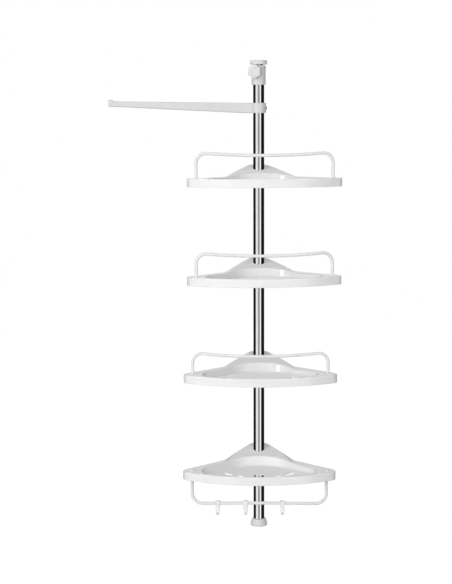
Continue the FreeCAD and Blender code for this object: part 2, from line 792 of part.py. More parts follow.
# The rail's centre line, with its bends' level at z = 0 and its legs at x = +-ear_x: two legs,
# a bend at each, and one long arc that bows forwards and sags, all of them tangent.
def rail_lines():
    half = float(ear_x)
    bend = value("rail_corner")
    bow, sag = value("rail_bow"), value("rail_sag")
    depth = math.hypot(bow, sag)
    span = half - bend
    swing = 2 * math.atan(depth / span)
    lean = Vector(0, -bow / depth, -sag / depth)
    way = Vector(-math.cos(swing), 0, 0) + lean * math.sin(swing)
    flat = Vector(way.x, way.y, 0).normalize()
    turn = math.acos(way.z)
    knee = Vector(half, 0, -bend)

    def on_bend(angle):
        return knee + flat * (bend * (1 - math.cos(angle))) + UP * (bend * math.sin(angle))

    start = on_bend(turn)
    radius = start.x / math.sin(swing)
    centre = start - Vector(math.sin(swing), 0, 0) * radius - lean * (math.cos(swing) * radius)
    crown = centre + lean * radius
    foot = Vector(half, 0, -value("rail_leg"))
    return {"foot": foot, "knee": knee, "middle": on_bend(turn / 2), "start": start,
            "crown": crown, "centre": centre, "radius": radius, "lean": lean}


def mirrored(point):
    return Vector(-point.x, point.y, point.z)


def make_rail():
    line = rail_lines()
    right = [Part.LineSegment(line["foot"], line["knee"]).toShape(),
             Part.Arc(line["knee"], line["middle"], line["start"]).toShape()]
    bow = Part.Arc(line["start"], line["crown"], mirrored(line["start"])).toShape()
    left = [Part.Arc(mirrored(line["start"]), mirrored(line["middle"]), mirrored(line["knee"])).toShape(),
            Part.LineSegment(mirrored(line["knee"]), mirrored(line["foot"])).toShape()]
    spine = Part.Wire(right + [bow] + left)
    wire = value("wire_diameter") / 2
    ring = Part.Wire([Part.Circle(line["foot"], UP, wire).toShape()])
    rail = spine.makePipeShell([ring], True, False)
    for foot in (line["foot"], mirrored(line["foot"])):
        hole = Part.makeCylinder(value("rail_screw_diameter") / 2, value("tapped_depth"), foot, UP)
        rail = rail.cut(hole)
    print("rail volume", round(rail.Volume), "length times section",
          round(spine.Length * math.pi * wire ** 2))
    return rail


# A pair of screws whose heads bear on the bosses and whose shanks stand up into the legs.
def make_rail_screws(length):
    screws = []
    for side in (1, -1):
        foot = Vector(float(ear_x) * side, 0, 0)
        head = Part.makeCylinder(value("rail_screw_head") / 2, value("rail_screw_head_height"), foot, -UP)
        crown = [edge for edge in head.Edges if edge.BoundBox.ZMax < -1e-6 and edge.Closed]
        head = head.makeFillet(value("rail_screw_head_height") / 2, crown)
        shank = Part.makeCylinder(value("rail_screw_diameter") / 2, length, foot, UP)
        screws.append(head.fuse(shank).removeSplitter())
    return Part.makeCompound(screws)


# ---- hooks ----

# A strap that wraps the wire and hangs down to a small upturned tip. Its wire runs along X
# through the origin, its shank is on the -Y side.
def make_hook():
    inner = value("wire_diameter") / 2 + value("free_gap")
    outer = inner + value("hook_thickness")
    width = value("hook_width")
    middle = (inner + outer) / 2
    drop = value("hook_drop")
    bend = value("hook_bend")
    across = Vector(1, 0, 0)
    start = Vector(-width / 2, 0, 0)

    def ring(centre, small, large):
        at = start + centre
        return Part.makeCylinder(large, width, at, across).cut(Part.makeCylinder(small, width, at, across))

    gap = Part.makeBox(width, outer * 2, outer * 2, start + Vector(0, 0, -outer * 2))
    clip = ring(Vector(), inner, outer).cut(gap)
    shank = Part.makeBox(width, outer - inner, drop, start + Vector(0, -outer, -drop))
    tip_centre = Vector(0, -outer - bend, -drop)
    tip = ring(tip_centre, bend, bend + outer - inner)
    tip = tip.cut(Part.makeBox(width, outer * 6, outer * 6, start + tip_centre - Vector(0, outer * 3, 0)))
    end = Part.makeCylinder(middle - inner, width, start + tip_centre - Vector(0, bend + middle - inner, 0),
                            across)
    hook = clip.fuse([shank, tip, end]).removeSplitter()
    # the strap narrows round the bend, and the upturned tip in front of the bend stays narrow
    narrow = value("hook_tip_width")
    low = tip_centre.z - bend - value("hook_thickness") - 1
    side = [Vector(width / 2, 0, outer + 1), Vector(width / 2, 0, -drop),
            Vector(narrow / 2, 0, -drop - bend), Vector(narrow / 2, 0, low)]
    front = [mirrored(point) for point in reversed(side)]
    plate = Part.Face(Part.makePolygon(side + front + side[:1]))
    plate.translate(Vector(0, outer + 1, 0))
    sides = [Part.makeBox(width, 4 * outer, outer - low, Vector(x, tip_centre.y - 4 * outer, low))
             for x in (narrow / 2, -narrow / 2 - width)]
    return hook.common(plate.extrude(Vector(0, -8 * outer, 0))).cut(sides).removeSplitter()


# ---- towel arm ----

arm_top = size("coupling_bottom") - size("arm_drop")
arm_bottom = arm_top - size("arm_collar_height")


def make_arm():
    low, high = float(arm_bottom), float(arm_top)
    tip = -value("arm_length")
    nub_start = tip + value("nub_length")
    end_top = high + value("arm_rise")
    end_low = end_top - value("arm_tip_height")
    nub_top = end_top + value("nub_height")
    root_half, tip_half = value("arm_root_thickness") / 2, value("arm_tip_thickness") / 2
    side = [(0, low), (-value("arm_taper_start"), low), (-value("arm_taper_end"), end_low),
            (tip, end_low), (tip, nub_top), (nub_start, nub_top), (nub_start - 2, end_top), (0, high)]
    corners = [Vector(x, -root_half - 1, z) for x, z in side]
    blade = Part.Face(Part.makePolygon(corners + corners[:1])).extrude(Vector(0, 2 * root_half + 2, 0))
    plan = [(0, root_half), (tip, tip_half), (tip, -tip_half), (0, -root_half)]
    corners = [Vector(x, y, 2 * low - high) for x, y in plan]
    wedge = Part.Face(Part.makePolygon(corners + corners[:1])).extrude(Vector(0, 0, 3 * (high - low)))
    blade = blade.common(wedge)
    long_edges = [edge for edge in blade.Edges if edge.Length > 3 * root_half
                  and edge.BoundBox.XLength > root_half]
    blade = blade.makeFillet(value("arm_rounding"), long_edges)
    ring = Part.makeCylinder(value("arm_collar_diameter") / 2, high - low, Vector(0, 0, low))
    angle = math.radians(value("clamp_heading"))
    ears = Part.makeBox(value("clamp_ear_reach"), value("clamp_ear_width"), high - low,
                        Vector(0, -value("clamp_ear_width") / 2, low))
    slit = Part.makeBox(value("clamp_ear_reach") + 5, value("clamp_slit"), high - low + 2,
                        Vector(0, -value("clamp_slit") / 2, low - 1))
    bolt_x = clamp_bolt_reach()
    bolt_z = (low + high) / 2
    across = Vector(0, 1, 0)
    start = Vector(bolt_x, -value("clamp_ear_width"), bolt_z)
    bore = Part.makeCylinder(value("clamp_screw_diameter") / 2 + value("press_gap"),
                             2 * value("clamp_ear_width"), start, across)
    for piece in (ears, slit, bore):
        piece.rotate(Vector(), UP, math.degrees(angle))
    hole = Part.makeCylinder(float(pole_radius + size("running_gap")), high - low + 2, Vector(0, 0, low - 1))
    body = ring.fuse([blade, ears]).cut([hole, slit, bore]).removeSplitter()
    return body


def clamp_bolt_reach():
    return (value("arm_collar_diameter") / 2 + value("clamp_ear_reach")) / 2 - 0.5


# The clamp's screw and nut lie across the ears, in the ears' own frame, and turn with them.
def make_arm_fasteners():
    half = value("clamp_ear_width") / 2
    at = Vector(clamp_bolt_reach(), 0, float(arm_bottom + arm_top) / 2)
    across = Vector(0, 1, 0)
    nut_end = half + value("clamp_nut_thickness")
    radius = value("clamp_screw_diameter") / 2
    head = Part.makeCylinder(value("clamp_screw_head") / 2, value("clamp_screw_head_height"),
                             at - across * half, -across)
    shank = Part.makeCylinder(radius, half + nut_end, at - across * half, across)
    screw = head.fuse(shank).removeSplitter()
    corner = value("clamp_nut_width") / 2 / math.cos(math.pi / 6)
    points = []
    for i in range(7):
        angle = i * math.pi / 3
        points.append(at + Vector(corner * math.cos(angle), half, corner * math.sin(angle)))
    nut = Part.Face(Part.makePolygon(points)).extrude(across * value("clamp_nut_thickness"))
    nut = nut.cut(Part.makeCylinder(radius, 4 * half, at - across * half, across))
    return screw, nut


# A shape of its own, turned in its own frame, then set at a point and a height and turned
# about the pole with its tray.
def feature(name, shape, z=0, turn=0, at=None, own_turn=None):
    made = doc.addObject("Part::Feature", name + "_shape")
    made.Shape = shape
    level_turn = Rotation(UP, turn)
    base = level_turn.multVec(at if at is not None else Vector()) + UP * z
    rotation = level_turn if own_turn is None else level_turn.multiply(own_turn)
    made.Placement = FreeCAD.Placement(base, rotation)
    return node(name, made)


UPSIDE_DOWN = Rotation(Vector(0, 1, 0), 180)
LEVELS = ("top", "upper", "lower", "bottom")


def make_levels():
    tray = make_tray()
    sleeve = make_sleeve()
    doc.recompute()
    rail = make_rail()
    short = make_rail_screws(value("rail_screw_length"))
    long = make_rail_screws(value("under_screw_length"))
    ear = Vector(0, float(ear_y), 0)
    for level in LEVELS:
        height, turn = value(level + "_height"), value(level + "_turn_angle")
        feature(level + "_tray", tray.Shape.copy(), height, turn)
        feature(level + "_sleeve", sleeve.Shape.copy(), height, turn)
        if level == "bottom":
            continue
        feature(level + "_rail", rail, height + value(level + "_rise"), turn, ear)
        feature(level + "_rail_screws", short, height + float(boss_bottom), turn, ear)
    height, turn = value("bottom_height"), value("bottom_turn_angle")
    hang = height - value("tray_rim") - value("under_drop")
    feature("hanging_rail", rail, hang, turn, ear, UPSIDE_DOWN)
    feature("hanging_rail_screws", long, height + value("boss_rise"), turn, ear, UPSIDE_DOWN)
    line = rail_lines()
    lean = UPSIDE_DOWN.multVec(line["lean"])
    centre = UPSIDE_DOWN.multVec(line["centre"])
    axis = lean.cross(Vector(1, 0, 0))
    hook = make_hook()
    for side in ("left", "middle", "right"):
        along = value("hook_" + side) * (1 if side == "right" else -1)
        swing = Rotation(axis, math.degrees(math.asin(along / line["radius"])))
        spot = centre + swing.multVec(lean * line["radius"])
        feature(side + "_hook", hook, hang, turn, spot + ear, swing)
    print("rail arc: radius", round(line["radius"], 4), "centre", centre + ear, "axis", axis)


def make_towel_arm():
    feature("towel_arm", make_arm())
    screw, nut = make_arm_fasteners()
    heading = Rotation(UP, value("clamp_heading"))
    feature("arm_clamp_screw", screw, own_turn=heading)
    feature("arm_clamp_nut", nut, own_turn=heading)


def check_and_write():
    doc.recompute()
    faults = [thing.Name for thing in doc.Objects if "Invalid" in thing.State or "Error" in thing.State]
    if faults:
        raise RuntimeError("failed objects: " + ", ".join(faults))
    os.makedirs("parts", exist_ok=True)
    for name, thing in NODES.items():
        shape = thing.Shape
        if shape.isNull() or not shape.isValid() or not shape.Solids:
            raise RuntimeError("bad shape: " + name)
    for name, thing in NODES.items():
        thing.Shape.exportStep("parts/%s.step" % name)
    print(len(NODES), "nodes written")


make_foot()
make_pole()
make_coupling()
make_knob()
make_spindle()
make_plunger()
make_levels()
make_towel_arm()
check_and_write()
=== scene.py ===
import json
import math

import bmesh
import bpy
import numpy as np
from mathutils import Matrix, Vector

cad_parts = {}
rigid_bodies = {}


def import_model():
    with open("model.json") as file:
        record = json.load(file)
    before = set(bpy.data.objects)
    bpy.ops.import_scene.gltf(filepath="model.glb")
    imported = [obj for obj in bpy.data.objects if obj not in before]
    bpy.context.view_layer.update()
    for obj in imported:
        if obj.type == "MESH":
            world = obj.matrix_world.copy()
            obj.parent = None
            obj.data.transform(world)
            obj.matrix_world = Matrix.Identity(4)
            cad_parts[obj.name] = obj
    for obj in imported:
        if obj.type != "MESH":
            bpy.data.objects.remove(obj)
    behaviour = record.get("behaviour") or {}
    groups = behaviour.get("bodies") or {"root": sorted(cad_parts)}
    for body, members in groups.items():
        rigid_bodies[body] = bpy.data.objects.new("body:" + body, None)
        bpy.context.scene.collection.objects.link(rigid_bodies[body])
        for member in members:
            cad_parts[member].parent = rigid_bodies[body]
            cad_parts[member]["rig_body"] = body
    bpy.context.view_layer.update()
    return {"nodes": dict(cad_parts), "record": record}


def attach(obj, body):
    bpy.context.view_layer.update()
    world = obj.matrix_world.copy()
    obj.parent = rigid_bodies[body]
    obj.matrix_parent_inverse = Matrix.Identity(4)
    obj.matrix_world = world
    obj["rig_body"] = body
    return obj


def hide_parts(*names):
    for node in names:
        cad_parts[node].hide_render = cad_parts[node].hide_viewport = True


# Tension pole shelf unit. The frame is in metres, shapes below are worked out in millimetres:
# +Z up the pole, -Y out of the corner, -X along the towel arm, the floor at z = 0.

print("frame: loading the packed model")
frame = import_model()
record = frame["record"]
slotOf = {part["node"]: part["material_slot"] for part in record["subparts"]}
finishes = {}  # the material of each slot
dressed = set()  # the nodes that have a new look


# A grid of points (rows, columns, 3) as quads. Each row closes round on itself, the last row may
# join the first, and each end row may be closed by a fan to a tip point.
def patch(points, closed, tips=(None, None)):
    rows, columns = points.shape[:2]
    index = np.arange(rows * columns).reshape(rows, columns)
    verts = points.reshape(-1, 3)
    index = np.concatenate([index, index[:, :1]], 1)
    if closed:
        index = np.concatenate([index, index[:1]], 0)
    quads = np.stack([index[:-1, :-1], index[:-1, 1:], index[1:, 1:], index[1:, :-1]], -1)
    faces = quads.reshape(-1, 4).tolist()
    for tip, row in ((tips[0], index[0][::-1]), (tips[1], index[-1])):
        if tip is not None:
            middle = np.full(len(row) - 1, len(verts))
            faces += np.stack([middle, row[:-1], row[1:]], -1).tolist()
            verts = np.concatenate([verts, np.array([tip], float)])
    return verts, faces


# Puts patches into one mesh, in metres, with smooth faces and sharp creases, facing outwards.
def meshOf(patches, crease=38):
    verts, faces, start = [], [], 0
    for points, polygons in patches:
        verts.append(points)
        faces += [[corner + start for corner in polygon] for polygon in polygons]
        start += len(points)
    mesh = bpy.data.meshes.new("shape")
    mesh.from_pydata(np.concatenate(verts) * 0.001, [], faces)
    return outward(mesh, crease)


# Turns a mesh's faces outwards, and shades it smooth up to its creases, given in degrees.
def outward(mesh, crease=38):
    work = bmesh.new()
    work.from_mesh(mesh)
    bmesh.ops.recalc_face_normals(work, faces=work.faces)
    work.to_mesh(mesh)
    work.free()
    mesh.shade_smooth()
    mesh.set_sharp_from_angle(angle=math.radians(crease))
    return mesh


def newObject(name, data):
    thing = bpy.data.objects.new(name, data)
    bpy.context.scene.collection.objects.link(thing)
    return thing


# Shows a shape, a mesh or a list of patches, in place of a CAD node: it rides on the node's body
# and takes its slot's finish. A piece that is not mirrored stays out of the others' gloss.
def dress(node, shape, finish=None, mirrored=True):
    mesh = meshOf(shape) if isinstance(shape, list) else shape
    piece = newObject(node + "_look", mesh)
    piece.visible_glossy = mirrored
    mesh.materials.clear()
    mesh.materials.append(finishes[finish or slotOf[node]])
    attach(piece, frame["nodes"][node]["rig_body"])
    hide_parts(node)
    # large faces keep their own direction in the shading, and the roundings take up the turn
    shading = piece.modifiers.new("face_weights", "WEIGHTED_NORMAL")
    shading.keep_sharp = True
    dressed.add(node)


# Cuts one closed mesh out of another and gives back the result.
def carved(mesh, tool):
    block, cutter = newObject("block", mesh), newObject("cutter", tool)
    hole = block.modifiers.new("hole", "BOOLEAN")
    hole.operation, hole.solver, hole.object = "DIFFERENCE", "EXACT", cutter
    bpy.context.view_layer.update()
    result = bpy.data.meshes.new_from_object(block.evaluated_get(bpy.context.evaluated_depsgraph_get()))
    for thing in (block, cutter):
        bpy.data.objects.remove(thing)
    return result


# Adds one mesh to another.
def joined(mesh, other, crease):
    work = bmesh.new()
    for source in (mesh, other):
        work.from_mesh(source)
    work.to_mesh(mesh)
    work.free()
    return outward(mesh, crease)


# A polygon with its corners rounded: each corner becomes an arc tangent to both its sides, with
# spoke(s) = (first * sin((1 - s) * turn) + last * sin(s * turn)) / sin(turn) about its centre.
def softened(corners, radii, steps=6):
    corners = np.array(corners, float)
    radii = np.broadcast_to(np.array(radii, float), len(corners))
    sweep = np.linspace(0, 1, steps)[:, None]
    made = []
    neighbours = (np.roll(corners, 1, 0), corners, np.roll(corners, -1, 0))
    for before, corner, after, radius in zip(*neighbours, radii):
        if radius <= 0:
            made.append(corner[None])
            continue
        back, ahead = before - corner, after - corner
        back, ahead = back / np.linalg.norm(back), ahead / np.linalg.norm(ahead)
        half = math.acos(np.clip(back @ ahead, -1, 1)) / 2
        reach = radius / math.tan(half)
        centre = corner + (back + ahead) / np.linalg.norm(back + ahead) * radius / math.sin(half)
        first, last = corner + back * reach - centre, corner + ahead * reach - centre
        turn = math.pi - 2 * half
        spokes = first * np.sin((1 - sweep) * turn) + last * np.sin(sweep * turn)
        made.append(centre + spokes / math.sin(turn))
    return np.concatenate(made)


# A rectangle about the origin, from -x to x and -y to y, with rounded corners.
def rectangle(x, y, rounding, steps):
    return softened([(x, y), (-x, y), (-x, -y), (x, -y)], rounding, steps)


# A profile's corners, each written as the names of its two sizes: "radius low".
def named(sizes, *corners):
    return [tuple(sizes[name] for name in corner.split()) for corner in corners]


# The profile of a ring or a tube with rounded corners: outside low and high, bore high and low.
def ringProfile(outer, bore, low, high, edges, steps=6):
    return softened([(outer, low), (outer, high), (bore, high), (bore, low)], edges, steps)


# Points on a circle at some angles: x = r cos a, y = r sin a.
def onCircle(radius, angle):
    return np.stack([radius * np.cos(angle), radius * np.sin(angle)], -1)


# A flat ring of points (n, 2) lifted to one height, or to a height for each point.
def lifted(ring, height):
    return np.concatenate([ring, np.broadcast_to(height, (len(ring),))[:, None]], 1)


# Profile (radius, height) turned about the Z axis: x = r cos a, y = r sin a, z = h. It goes all
# the way round, or over an arc given in degrees.
def turned(profile, segments=96, tips=None, arc=None):
    profile = np.array(profile, float)
    if arc is None:
        angle = np.arange(segments) * 2 * math.pi / segments
    else:
        angle = np.radians(np.linspace(arc[0], arc[1], segments))
    across = profile[:, :1]
    up = np.broadcast_to(profile[:, 1:], (len(profile), segments))
    points = np.stack([across * np.cos(angle), across * np.sin(angle), up], -1)
    if arc is None:
        return patch(points, tips is None, tips or (None, None))
    # an open arc: the profile is the closed direction, and both ends get a cap
    points = points.transpose(1, 0, 2)
    return patch(points, False, (points[0].mean(0), points[-1].mean(0)))


# A turned solid: the profile starts and ends on the axis, where fans close it.
def spun(profile, segments=96):
    profile = np.array(profile, float)
    return turned(profile[1:-1], segments, ((0, 0, profile[0, 1]), (0, 0, profile[-1, 1])))


# Moves a patch: its own axes first (columns of a 3x3 array), then a shift.
def placed(part, axes, shift=(0, 0, 0)):
    points, faces = part
    if axes is not None:
        points = points @ np.array(axes, float).T
    return points + np.array(shift, float), faces


# The axes turned about the pole, and a patch turned so and lifted.
def aboutPole(degrees):
    c, s = math.cos(math.radians(degrees)), math.sin(math.radians(degrees))
    return np.array([[c, -s, 0], [s, c, 0], [0, 0, 1]])


def onPole(part, turn, height=0):
    return placed(part, aboutPole(turn), (0, 0, height))


# A section (n, 2), or one for each step (m, n, 2), carried along a path (m, 3):
# point = path + u * side + v * up, where side is kept square to the path and as near as can be
# to a guide direction.
def swept(path, section, guide):
    way = np.gradient(path, axis=0)
    way /= np.linalg.norm(way, axis=1, keepdims=True)
    guide = np.broadcast_to(np.array(guide, float), path.shape)
    side = guide - way * np.sum(guide * way, 1, keepdims=True)
    side /= np.linalg.norm(side, axis=1, keepdims=True)
    up = np.cross(way, side)
    if section.ndim == 2:
        section = np.broadcast_to(section, (len(path),) + section.shape)
    points = path[:, None] + section[..., :1] * side[:, None] + section[..., 1:] * up[:, None]
    return patch(points, False, (path[0], path[-1]))


# One output socket of a node tree. Sums on it add Math nodes, and node() adds any other.
class Signal:
    def __init__(self, tree, socket=None):
        self.tree, self.socket = tree, socket

    def node(self, kind, settings=None, inputs=None, output=0):
        made = self.tree.nodes.new(kind)
        for name, choice in (settings or {}).items():
            setattr(made, name, choice)
        for name, what in (inputs or {}).items():
            if isinstance(what, Signal):
                self.tree.links.new(what.socket, made.inputs[name])
            else:
                made.inputs[name].default_value = what
        return Signal(self.tree, made.outputs[output])

    def maths(self, operation, *terms):
        return self.node("ShaderNodeMath", {"operation": operation}, dict(enumerate(terms)))

    def __add__(self, other):
        return self.maths("ADD", self, other)

    def __radd__(self, other):
        return self.maths("ADD", other, self)

    def __rsub__(self, other):
        return self.maths("SUBTRACT", other, self)

    def __mul__(self, other):
        return self.maths("MULTIPLY", self, other)

    def __rmul__(self, other):
        return self.maths("MULTIPLY", other, self)

    def __neg__(self):
        return self.maths("MULTIPLY", self, -1.0)

    # sends a shader to the output node of its tree
    def show(self, kind):
        self.tree.links.new(self.socket, self.tree.nodes.new(kind).inputs["Surface"])

    # 0 below the low value, 1 above the high one, an even S between them
    def smooth(self, low, high):
        return self.node("ShaderNodeMapRange", {"interpolation_type": "SMOOTHSTEP"},
                         {"Value": self, "From Min": low, "From Max": high})

    # 1 between the low and the high value, with edges as wide as twice the soft one
    def between(self, low, high, soft):
        return self.smooth(low - soft, low + soft) * (1.0 - self.smooth(high - soft, high + soft))


# Empties the node tree of a world or a material, and starts on it.
def emptied(owner):
    owner.use_nodes = True
    owner.node_tree.nodes.clear()
    return Signal(owner.node_tree)


# One material: its shader, and noise in the piece's own frame to feed it.
class Finish:
    def __init__(self, slot):
        self.material = bpy.data.materials.new(slot)
        self.material.use_nodes = True
        tree = self.material.node_tree
        self.shader = tree.nodes["Principled BSDF"]
        self.start = Signal(tree)
        self.place = self.start.node("ShaderNodeTexCoord", output="Object")
        finishes[slot] = self.material

    def fixed(self, **values):
        for name, what in values.items():
            self.shader.inputs[name.replace("_", " ")].default_value = what

    def feed(self, name, signal):
        signal.tree.links.new(signal.socket, self.shader.inputs[name])

    # fractal noise at a number of features per metre, each axis stretched in turn
    def noise(self, scale, detail, rough, stretch=(1, 1, 1), seed=0.0):
        moved = self.start.node("ShaderNodeMapping", inputs={
            "Vector": self.place, "Scale": stretch, "Location": (seed, seed * 0.7, seed * 0.3)})
        return self.start.node("ShaderNodeTexNoise", {"noise_dimensions": "3D"}, {
            "Vector": moved, "Scale": scale, "Detail": detail, "Roughness": rough})

    def tint(self, factor, first, second):
        return self.start.node("ShaderNodeMix", {"data_type": "RGBA"}, {
            0: factor, 6: tuple(first) + (1,), 7: tuple(second) + (1,)}, 2)

    def bump(self, height, strength, depth):
        self.feed("Normal", self.start.node("ShaderNodeBump", inputs={
            "Height": height, "Strength": strength, "Distance": depth}))


print("finishes: building the materials")


# Glossy moulded plastic: colour drifts with the flow of the melt, gloss with the mould's polish.
def mouldedPlastic(slot, light, deep, gloss, haze, grain=900.0, depth=0.00002):
    finish = Finish(slot)
    flow = finish.noise(7.0, 2.0, 0.5, (1, 1.6, 1))
    cloud = finish.noise(55.0, 4.0, 0.6, seed=3.0)
    skin = finish.noise(grain, 2.0, 0.5, seed=5.0)
    finish.fixed(IOR=1.49)
    finish.feed("Base Color", finish.tint(flow.smooth(0.3, 0.7), deep, light))
    finish.feed("Roughness", gloss + haze * cloud.smooth(0.35, 0.8))
    finish.bump(skin * 0.6 + cloud * 0.4, 0.12, depth)


mouldedPlastic("white_plastic", (0.935, 0.935, 0.93), (0.915, 0.917, 0.915), 0.06, 0.09)
mouldedPlastic("clamp_plastic", (0.76, 0.76, 0.755), (0.73, 0.732, 0.73), 0.2, 0.16)
mouldedPlastic("base_plastic", (0.86, 0.86, 0.855), (0.82, 0.822, 0.82), 0.3, 0.15)
mouldedPlastic("white_cap", (0.86, 0.86, 0.855), (0.83, 0.83, 0.83), 0.2, 0.15)
mouldedPlastic("nylon", (0.8, 0.8, 0.77), (0.74, 0.74, 0.71), 0.42, 0.2, 500.0, 0.00005)


# Wire dipped in white: slow waves of coat along the wire over a fine orange peel.
def dippedWire(slot):
    finish = Finish(slot)
    coat = finish.noise(38.0, 3.0, 0.5)
    peel = finish.noise(650.0, 2.0, 0.5, seed=2.0)
    finish.fixed(IOR=1.49)
    finish.feed("Base Color", finish.tint(coat.smooth(0.3, 0.7), (0.87, 0.872, 0.87), (0.9, 0.9, 0.895)))
    finish.feed("Roughness", 0.2 + 0.14 * coat)
    finish.bump(peel * 0.5 + coat, 0.25, 0.00006)


dippedWire("coated_wire")


# Plated and polished tube: long polish lines up the tube, a soft haze, a little tint.
def polishedPlate(slot, light, deep, gloss, haze, lines, rough=(1, 1, 0.02)):
    finish = Finish(slot)
    streak = finish.noise(lines, 3.0, 0.6, rough)
    cloud = finish.noise(24.0, 3.0, 0.5, seed=4.0)
    finish.fixed(Metallic=1.0)
    finish.feed("Base Color", finish.tint(cloud.smooth(0.3, 0.75), deep, light))
    finish.feed("Roughness", gloss + haze * streak.smooth(0.4, 0.8))


polishedPlate("chrome", (0.8, 0.81, 0.82), (0.74, 0.75, 0.765), 0.045, 0.06, 900.0)
polishedPlate("steel", (0.64, 0.645, 0.66), (0.55, 0.555, 0.57), 0.24, 0.2, 700.0, (1, 1, 1))
polishedPlate("brass", (0.74, 0.59, 0.32), (0.62, 0.47, 0.23), 0.22, 0.18, 800.0, (1, 1, 1))


# Moulded rubber: matt, finely pitted, with a bloom of paler dust.
def mouldedRubber(slot):
    finish = Finish(slot)
    bloom = finish.noise(40.0, 4.0, 0.6)
    pits = finish.noise(1300.0, 2.0, 0.5, seed=1.0)
    finish.feed("Base Color", finish.tint(bloom.smooth(0.3, 0.8), (0.74, 0.74, 0.72), (0.82, 0.82, 0.81)))
    finish.feed("Roughness", 0.62 + 0.22 * bloom)
    finish.bump(pits, 0.4, 0.0001)


mouldedRubber("rubber")

print("pole: tubes, foot, coupling and plunger")

# "fit" is the air around the pole in the pieces that hold it
pole = {"radius": 12.5, "bore": 11.3, "seat": 6.0, "joint": 740.0, "top": 1035.0, "edge": 0.15, "fit": 0.02,
        "innerRadius": 9.5, "innerBore": 8.5, "innerLow": 162.0, "innerTop": 1062.0, "innerEdge": 0.25,
        "pinDrop": 22.0, "pinRadius": 1.6, "pinReach": 14.0}


# A tube's edges are half as round inside as outside.
def tubeProfile(outer, bore, low, high, edge):
    return ringProfile(outer, bore, low, high, (edge, edge, edge / 2, edge / 2), 4)


# The pole, trays and rails do not show each other in their gloss: the pole keeps its plain stripes.
for node, low, high in (("lower_pole", "seat", "joint"), ("upper_pole", "joint", "top")):
    tube = tubeProfile(pole["radius"], pole["bore"], pole[low], pole[high], pole["edge"])
    dress(node, [turned(tube, 128)], mirrored=False)


# A plain cylinder, as a profile to turn.
def rodProfile(radius, low, high):
    return [(0, low), (radius, low), (radius, high), (0, high)]


pinHeight = pole["innerTop"] - pole["pinDrop"]
along = np.array([[0, 0, 1], [1, 0, 0], [0, 1, 0]], float)  # a piece's Z axis laid along X
pinRod = spun(rodProfile(pole["pinRadius"], -pole["pinReach"], pole["pinReach"]), 32)
pinHole = meshOf([placed(pinRod, along, (0, 0, pinHeight))])
innerTube = meshOf([turned(tubeProfile(
    pole["innerRadius"], pole["innerBore"], pole["innerLow"], pole["innerTop"], pole["innerEdge"]))])
dress("inner_tube", outward(carved(innerTube, pinHole)), mirrored=False)

# the pad's spigot stands in the cup's dimple, and "spigotFit" is the air between them
foot = {"radius": 19.0, "pad": 3.0, "rim": 8.0, "top": 16.0, "wall": 3.0, "spigot": 7.0, "spigotTop": 5.0,
        "spigotFit": 0.05, "hole": 4.0, "tread": 16.0}
groove = {"depth": 0.45, "pitch": 4.6, "within": 17.0, "margin": 1.6}


# The profile of a rubber pad, from its grooved face through its back to the end of its spigot:
# groove depth = depth * sqrt(cos(2 pi * radius / pitch)) where the cosine is above 0.
def padProfile(face, back, spigotEnd):
    radius = np.linspace(1.0, foot["radius"] - groove["margin"], 60)
    wave = np.clip(np.cos(radius * 2 * math.pi / groove["pitch"]), 0, 1) ** 0.5
    depth = groove["depth"] * wave * (radius < groove["within"]) * np.sign(back - face)
    outer, spigot = foot["radius"], foot["spigot"]
    rim = softened([(foot["tread"], face), (outer, face), (outer, back), (spigot, back)], (0, 0.8, 0.2, 0))
    return np.concatenate([[(0, face)], np.stack([radius, face + depth], -1), rim[1:],
                           [(spigot, spigotEnd), (0, spigotEnd)]])


dress("foot_pad", [spun(padProfile(0, foot["pad"], foot["spigotTop"]))])
foot["dimple"] = foot["spigot"] + foot["spigotFit"]
foot["dimpleTop"] = foot["spigotTop"] + foot["spigotFit"]
foot["neck"] = pole["radius"] + foot["wall"]
foot["socket"], foot["seat"] = pole["radius"] + pole["fit"], pole["seat"]
cupCorners = named(foot, "dimple pad", "radius pad", "radius rim", "neck top", "socket top",
                   "socket seat", "hole seat", "hole dimpleTop", "dimple dimpleTop")
dress("foot_cup", [turned(softened(cupCorners, (0, 0.4, 1.4, 1.0, 0.3, 0, 0, 0, 0)))])

coupling = {"low": 1017.0, "high": 1060.0, "radius": 15.75, "edge": 1.3, "knobAxis": 1046.0,
            "heading": 20.0, "innerFit": 0.5,
            "boss": 8.5, "bossBore": 4.9, "bossRoot": 9.8, "bossReach": 17.5}
knob = {"corner": 16.4, "rounding": 2.4, "face": 1.5, "back": 17.8, "front": 29.8, "middle": 6.0,
        "dish": 0.2, "dishRadius": 8.5, "dishWall": 0.14}

heading = math.radians(coupling["heading"])
outwards = np.array([-math.sin(heading), -math.cos(heading), 0])
sideways = np.array([math.cos(heading), -math.sin(heading), 0])
knobAxes = np.stack([sideways, np.array([0, 0, 1.0]), outwards], 1)  # columns: side, up, along the screw
knobShift = (0, 0, coupling["knobAxis"])

coupling["socket"], coupling["seat"] = pole["radius"] + pole["fit"], pole["top"]
coupling["neck"] = pole["innerRadius"] + coupling["innerFit"]
couplingCorners = named(coupling, "socket low", "radius low", "radius high", "neck high", "neck seat",
                        "socket seat")
couplingProfile = softened(couplingCorners, (0.4, coupling["edge"], coupling["edge"], 0.6, 0, 0))
bossPart = placed(turned(ringProfile(
    coupling["boss"], coupling["bossBore"], coupling["bossRoot"], coupling["bossReach"],
    (0, 0.6, 0.2, 0)), 64), knobAxes, knobShift)
dress("clamp_coupling", [turned(couplingProfile), bossPart], "clamp_plastic")


# A hexagon with rounded corners, its corners up and down, shrunk by an inset.
def hexagonRing(inset):
    reach = knob["corner"] - inset / math.cos(math.pi / 6)
    corners = onCircle(reach, np.radians(90 + 60 * np.arange(6)))
    return softened(corners, max(knob["rounding"] - inset, 0.3), 8)


